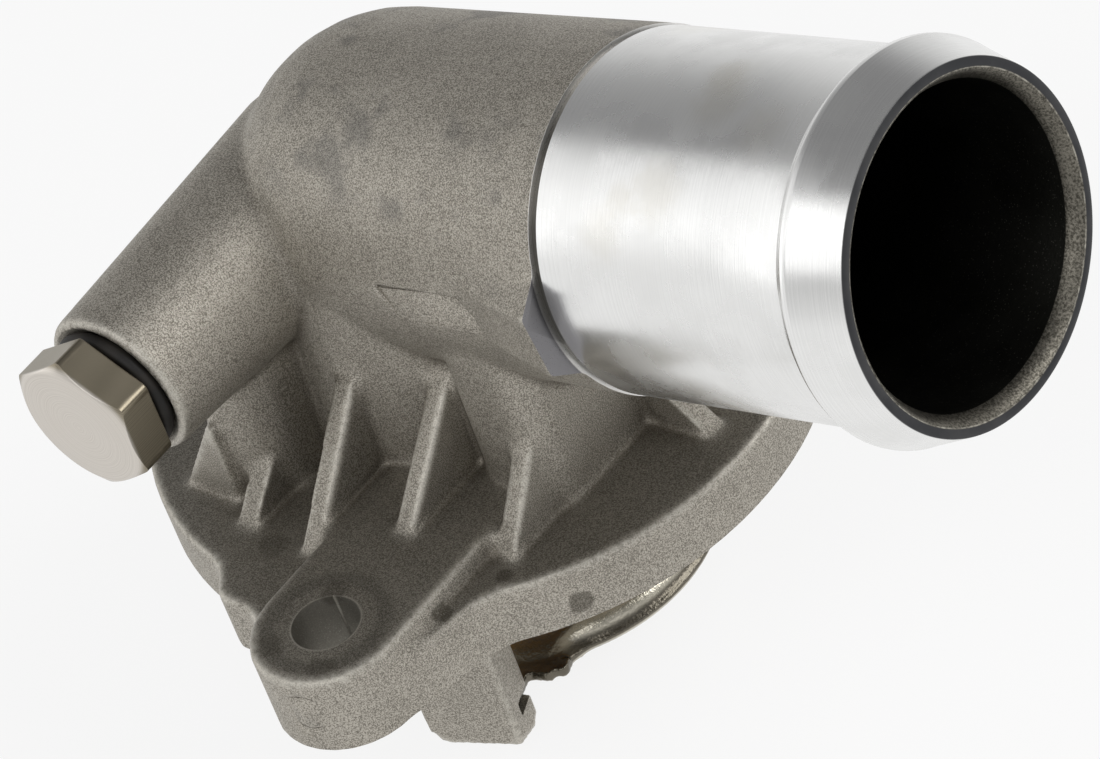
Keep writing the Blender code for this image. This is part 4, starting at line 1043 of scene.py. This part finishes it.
# Painted shade where the sheet turns under
SHEET_UNDERSIDE_SHADE = (0.07, 0.06, 0.045)
BRASS = (0.42, 0.24, 0.08), (0.66, 0.42, 0.16)
SPRING_STEEL = (0.2, 0.195, 0.19), (0.42, 0.41, 0.4)
GROUND_STEEL = (0.5, 0.5, 0.5), (0.66, 0.66, 0.66)
WHITE_PTFE = (0.62, 0.61, 0.57), (0.8, 0.79, 0.76)
FILLED_WAX = (0.42, 0.28, 0.13), (0.62, 0.46, 0.26)

# Stains on the casting: place and radius in mm, then how strong each is
STAINS = [
    ((28.2, -21.4, 2.4), 1.35, 0.6),
    ((24.2, -32.3, 7.0), 1.0, 0.5),
    ((20.0, -29.2, 2.1), 0.9, 0.4),
    ((19.7, -31.4, 7.0), 1.2, 0.6),
    ((22.6, -24.5, 7.0), 0.9, 0.5),
    ((19.0, -25.6, 7.0), 0.8, 0.5),
    ((11.1, -13.6, 7.4), 2.2, 0.6),
    ((9.5, -34.6, 9.5), 1.3, 0.4),
    ((8.0, -43.3, 9.5), 1.6, 0.35),
    ((14.8, -43.4, 9.5), 1.4, 0.35),
    ((-3.0, -30.5, 7.0), 1.6, 0.4),
]

# Smudges that hands and a hose have left on the turned neck
SMUDGES = [
    ((46.4, -11.2, 53.6), 2.6, 0.3),
    ((40.9, -14.3, 49.1), 2.2, 0.25),
    ((42.5, -12.1, 52.0), 1.5, 0.3),
    ((49.0, -2.7, 58.0), 2.4, 0.3),
    ((47.8, 0.5, 58.0), 2.0, 0.35),
    ((55.6, -5.4, 58.6), 2.2, 0.2),
    ((36.0, 10.0, 52.0), 3.0, 0.25),
    ((50.0, 14.5, 48.0), 2.6, 0.25),
]


def stained(place, colour, spots, tint, edge):
    for centre, radius, strength in spots:
        centre = tuple(c * MM for c in centre)
        spot = use(STAIN, Position=place, Centre=centre, Radius=radius * MM, Edge=edge)
        colour = laid_over(colour, (spot["Mask"], strength, tint))
    return colour


def bolt_hole_marks(place, colour, x, y):
    """The witness mark of a washer, a painted highlight on the hole's rim and painted shade on its
    wall.
    """
    away = use(LATHE, Position=place, Origin=(x, y, 0), Axis=(0, 0, 1))["Away"]
    inner = ramp(away, 4.7 * MM, 5.6 * MM)
    outer = ramp(away, 7.2 * MM, 6.2 * MM)
    # Painted highlight round the hole's rim, painted shade down its wall
    rim = ramp(away, BOLT_HOLE_RADIUS + 0.3 * MM, BOLT_HOLE_RADIUS + 0.1 * MM)
    wall = ramp(away, BOLT_HOLE_RADIUS + 0.06 * MM, BOLT_HOLE_RADIUS + 0.02 * MM)
    washer = times(inner, outer)
    layers = (washer, 0.3, WASHER_MARK), (rim, 0.5, HOLE_RIM_HIGHLIGHT), (wall, 0.75, HOLE_WALL_SHADE)
    return laid_over(colour, *layers)


def cast_skin_material():
    """The die's grey skin, with painted shade on what looks up and in corners, and rubbed crests."""
    made, place = start_material("cast_skin", 1.0)
    grain = use(GRAIN, Position=place, Grain=0.15 * MM)
    tree = made.node_tree
    crest = add_node("Attribute", {}, tree, attribute_name="crest").outputs["Fac"]
    inside = add_node("Attribute", {}, tree, attribute_name="inside").outputs["Fac"]
    worn = use(WEAR, Position=place, Crest=crest, Start=0.06, Full=0.19)["Mask"]
    # Painted shade darkens the hollows
    hollow = ramp(crest, -0.03, -0.14)
    at = use(LATHE, Position=place, **NECK_LINE)
    turned_off = ramp(at["Along"], NECK_STEP - 0.06 * MM, NECK_STEP - 0.02 * MM)
    height = part_of(place, "Z")
    # Painted shade: the faces that look up, on the flange and the ears, are darker and warmer
    normal = add_node("NewGeometry", {}, tree).outputs["Normal"]
    upward = ramp(part_of(normal, "Z"), 0.55, 0.95)
    painted_shade = times(upward, ramp(height, 13 * MM, 9 * MM))
    # Dark handling marks lie on top of the elbow
    patch = ramp(noise(place, 150.0, 3.0, 0.55), 0.52, 0.66)
    handled = times(patch, ramp(height, 38 * MM, 45 * MM))
    colour = blend(ramp(grain["Tone"], 0.4, 0.6), *CAST_SKIN)
    layers = (painted_shade, 0.45, UPWARD_FACE_SHADE), (hollow, 0.55, HOLLOW_SHADE), (handled, 0.4, HANDLING_MARK)
    colour = laid_over(colour, *layers)
    for x, y in ((EAR_X, -EAR_HOLE_Y), (-EAR_X, EAR_HOLE_Y)):
        colour = bolt_hole_marks(place, colour, x, y)
    colour = stained(place, colour, STAINS, STAIN_BROWN, 0.25)
    colour = laid_over(colour, (worn, 0.5, WORN_EDGE), (grain["Sparkle"], 0.4, BRIGHT_CRYSTAL))
    # The step that the lathe has cut: bright round the neck, duller where it runs out over the block
    block = ramp(at["Away"], 17.75 * MM, 17.9 * MM)
    colour = blend(turned_off, colour, blend(block, TURNED_STEP, TURNED_BLOCK))
    # Painted shade: the inside of the water way is nearly black
    colour = blend(inside, colour, WATER_WAY_SHADE)
    rough = minus(0.6, times(worn, 0.1), times(grain["Sparkle"], 0.2), times(turned_off, 0.25))
    relief = times(grain["Height"], minus(1.0, turned_off))
    return finish_surface(made, colour, rough, relief, 0.6, 0.08 * MM)


def turned_neck_material():
    """Bright turned aluminium, smudged by hands, with painted shade in the relief groove, on the duller
    end face and in the bore left as cast.
    """
    made, place = start_material("turned_aluminium", 1.0)
    at = use(LATHE, Position=place, **NECK_LINE)
    marks = use(MARKS, Position=place, Measure=at["Along"], Pitch=0.16 * MM)
    grain = use(GRAIN, Position=place, Grain=0.24 * MM)
    cloud = ramp(marks["Cloud"], 0.35, 0.7)
    tone = ramp(grain["Tone"], 0.36, 0.64)
    groove_end = NECK_STEP + RELIEF_WIDTH
    groove = ramp(at["Along"], groove_end + 0.2 * MM, groove_end - 0.05 * MM)
    end = ramp(at["Along"], NECK_END - 0.14 * MM, NECK_END - 0.04 * MM)
    corner = NECK_MOUTH_RADIUS + 0.2 * MM
    mouth = ramp(at["Away"], corner, NECK_MOUTH_RADIUS + 0.1 * MM)
    bore = ramp(at["Away"], NECK_BORE_RADIUS + 0.08 * MM, NECK_BORE_RADIUS + 0.03 * MM)
    # The corner between the end face and the mouth is rubbed bright in places
    lip = times(end, ramp(at["Away"], corner, NECK_MOUTH_RADIUS + 0.12 * MM))
    rubbed = use(WEAR, Position=place, Crest=lip, Start=0.75, Full=1.3)["Mask"]
    colour = blend(ramp(marks["Line"], 0.3, 0.7), *NECK_LINES)
    colour = laid_over(colour, (cloud, 0.25, NECK_CLOUD))
    colour = stained(place, colour, SMUDGES, NECK_SMUDGE, 0.7)
    # Painted shade in the relief groove
    colour = blend(groove, colour, RELIEF_GROOVE_SHADE)
    # Painted shade on the end face
    colour = blend(end, colour, blend(cloud, *END_FACE_SHADE))
    colour = blend(mouth, colour, blend(tone, *MOUTH))
    colour = laid_over(colour, (rubbed, 0.7, RUBBED_LIP))
    crystals = times(grain["Sparkle"], 0.35)
    # Painted shade in the bore, with a few crystals
    colour = blend(bore, colour, blend(crystals, *BORE_SHADE))
    rough = plus(0.22, times(cloud, 0.1), times(end, 0.12), times(mouth, 0.2))
    pebbles = times(grain["Height"], mouth, 4.0)
    relief = plus(times(marks["Line"], 0.4), times(marks["Cloud"], 2.0), pebbles)
    return finish_surface(made, colour, rough, relief, 0.25, 0.03 * MM)


def nickel_material():
    """Nickel plate: a swirl on the turned face, brushing along browner flats."""
    made, place = start_material("bright_nickel", 1.0)
    at = use(LATHE, Position=place, **BOSS_LINE)
    swirl = use(MARKS, Position=place, Measure=at["Away"], Pitch=0.12 * MM)
    across = plus(part_of(place, "X"), times(part_of(place, "Z"), 1.7))
    brush = use(MARKS, Position=place, Measure=across, Pitch=0.16 * MM)
    top = PLUG_BASE + PLUG_HEAD
    face = ramp(at["Along"], top - 0.6 * MM, top - 0.2 * MM)
    lines = add_node("Mix", {"Factor": face, 2: brush["Line"], 3: swirl["Line"]}).outputs[0]
    shade = ramp(lines, 0.25, 0.75)
    colour = blend(face, blend(shade, *PLUG_FLATS), blend(shade, *PLUG_FACE))
    rough = plus(0.26, times(swirl["Cloud"], 0.16))
    return finish_surface(made, colour, rough, lines, 0.15, 0.02 * MM)


def rubber_material():
    made, place = start_material("moulded_rubber", 0.0)
    made.node_tree.nodes["Principled BSDF"].inputs["Specular IOR Level"].default_value = 0.3
    cloud = noise(place, 300.0, 3.0)
    colour = blend(ramp(cloud, 0.4, 0.7), *BLACK_RUBBER)
    rough = plus(0.45, times(cloud, 0.25))
    return finish_surface(made, colour, rough, noise(place, 2600.0), 0.25, 0.04 * MM)


def pressed_steel_material():
    """Bright steel sheet, orange-peeled by the press, with painted shade where it turns under."""
    made, place = start_material("pressed_steel", 1.0)
    cloud = noise(place, 300.0, 3.0)
    height = part_of(place, "Z")
    # Painted shade below the roll's crest, lighter again at the sheared lower edge
    under = ramp(height, ARM_CREST - 0.7 * MM, ARM_CREST - 1.3 * MM)
    sheared = ramp(height, DISH_FLOOR + 2.3 * MM, DISH_FLOOR + 2.0 * MM)
    painted_shade = times(under, minus(1.0, times(sheared, 0.8)))
    colour = blend(ramp(cloud, 0.35, 0.65), *BRIGHT_SHEET)
    colour = laid_over(colour, (painted_shade, 0.85, SHEET_UNDERSIDE_SHADE))
    rough = plus(0.2, times(cloud, 0.1))
    return finish_surface(made, colour, rough, noise(place, 2600.0), 0.5, 0.1 * MM)


def metal_material(name, tones, rough, mottle, depth):
    """Sheet, wire or drawn metal: tone and gloss that drift, over a fine mottle."""
    made, place = start_material(name, 1.0)
    cloud = noise(place, 260.0, 4.0, 0.6)
    fine = noise(place, mottle, 2.5)
    tone = plus(times(cloud, 0.6), times(fine, 0.4))
    colour = blend(ramp(tone, 0.35, 0.65), *tones)
    rough = plus(rough, times(cloud, 0.14))
    return finish_surface(made, colour, rough, fine, 0.4, depth)


def pale_material(name, tones, rough):
    """Waxy or moulded pale stuff with a soft uneven tone."""
    made, place = start_material(name, 0.0)
    cloud = noise(place, 500.0, 3.0)
    return finish_surface(made, blend(cloud, *tones), rough, cloud, 0.2, 0.05 * MM)


def towards(azimuth, elevation):
    """The direction from the object to a camera or a lamp."""
    flat = math.cos(elevation)
    return Vector((math.sin(azimuth) * flat, -math.cos(azimuth) * flat, math.sin(elevation)))


def add_camera():
    data = bpy.data.cameras.new("camera")
    data.lens = CAMERA_LENS
    data.sensor_width = 36
    data.clip_start = 0.01
    camera = add_object("camera", data)
    away = towards(CAMERA_AZIMUTH, CAMERA_ELEVATION)
    camera.location = CAMERA_AIM + away * CAMERA_DISTANCE
    turn = (-away).to_track_quat("-Z", "Y").to_matrix().to_4x4()
    camera.rotation_euler = (turn @ Matrix.Rotation(-CAMERA_ROLL, 4, "Z")).to_euler()
    bpy.context.scene.camera = camera


def add_lamp(name, azimuth, elevation, distance, size, power):
    """A soft box that faces the object."""
    data = bpy.data.lights.new(name, "AREA")
    data.shape = "RECTANGLE"
    data.size, data.size_y = size
    data.energy = power
    lamp = add_object(name, data)
    away = towards(azimuth * DEG, elevation * DEG)
    lamp.location = CAMERA_AIM + away * distance
    lamp.rotation_euler = (-away).to_track_quat("-Z", "Y").to_euler()


def add_floor():
    """A white floor that takes the object's shadow, and shows white in gloss."""
    bm = bmesh.new()
    bmesh.ops.create_grid(bm, x_segments=1, y_segments=1, size=3)
    floor = object_from("floor", bm, Matrix.Translation((0, 0, FLOOR_Z)))
    paint = bpy.data.materials.new("floor_white")
    paint.use_nodes = True
    tree = paint.node_tree
    shader = tree.nodes["Principled BSDF"]
    shader.inputs["Base Color"].default_value = (0.8, 0.8, 0.8, 1)
    shader.inputs["Roughness"].default_value = 0.9
    rays = add_node("LightPath", {}, tree).outputs
    seen = [rays[kind] for kind in ("Is Camera Ray", "Is Glossy Ray", "Is Transmission Ray")]
    share = times(maths("MAXIMUM", *seen), 0.85)
    glow = add_node("Emission", {"Strength": 1.0}, tree)
    mix = add_node("MixShader", {0: share, 1: shader.outputs[0], 2: glow.outputs[0]})
    feed(tree.nodes["Material Output"].inputs["Surface"], mix.outputs[0])
    floor.data.materials.append(paint)


def add_world():
    """A pale room: bright walls, and a ceiling that is darker overhead."""
    world = bpy.data.worlds.new("studio")
    bpy.context.scene.world = world
    world.use_nodes = True
    tree = world.node_tree
    rise = part_of(add_node("TexCoord", {}, tree).outputs["Generated"], "Z")
    colour = blend(ramp(rise, 0.0, 0.65), (0.78, 0.78, 0.78), (0.24, 0.24, 0.243))
    feed(tree.nodes["Background"].inputs["Color"], colour)
    tree.nodes["Background"].inputs["Strength"].default_value = 1.0


# Lamps: azimuth and elevation in degrees, distance and size in metres, power in watts
LAMPS = [
    ("key", 125, 40, 0.7, (0.5, 0.4), 2.4),
    ("left", -62, 18, 0.8, (0.5, 0.7), 0.8),
    ("front", 30, 46, 0.8, (0.6, 0.4), 1.6),
    ("sky", -18, 42, 0.8, (0.7, 0.5), 1.0),
]

bpy.context.scene.view_settings.view_transform = "Standard"
add_world()
add_camera()
add_floor()
for lamp in LAMPS:
    add_lamp(*lamp)

cast_skin = cast_skin_material()
rubber = rubber_material()
nickel = nickel_material()
brass = metal_material("tarnished_brass", BRASS, 0.26, 1500.0, 0.03 * MM)
pressed_steel = pressed_steel_material()
spring_steel = metal_material("spring_wire", SPRING_STEEL, 0.3, 1800.0, 0.03 * MM)
ground_steel = metal_material("ground_rod", GROUND_STEEL, 0.2, 3000.0, 0.02 * MM)
ptfe = pale_material("white_ptfe", WHITE_PTFE, 0.4)
wax = pale_material("filled_wax", FILLED_WAX, 0.6)


def place_piece(piece, finish, node, body):
    piece.data.materials.clear()
    piece.data.materials.append(finish)
    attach(piece, body)
    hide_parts(node)


place_piece(casting_skin(), cast_skin, "housing", "casting")
place_piece(turned_neck(), turned_neck_material(), "housing", "casting")
place_piece(dressed_plug(), nickel, "bleed_plug", "plug")
place_piece(o_ring(), rubber, "plug_o_ring", "plug_ring")
place_piece(stamped_bridge(), pressed_steel, "bridge", "casting")
spring = coil_spring()
place_piece(spring, spring_steel, "main_spring", "casting")
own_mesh(spring)

for node, finish in {
    "flange_seal": rubber,
    "valve_seal": rubber,
    "rubber_boot": rubber,
    "piston": ground_steel,
    "guide_cover": brass,
    "wax_cup": brass,
    "valve_plate": brass,
    "boot_washer": ptfe,
    "wax_charge": wax,
}.items():
    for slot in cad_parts[node].material_slots:
        slot.material = finish
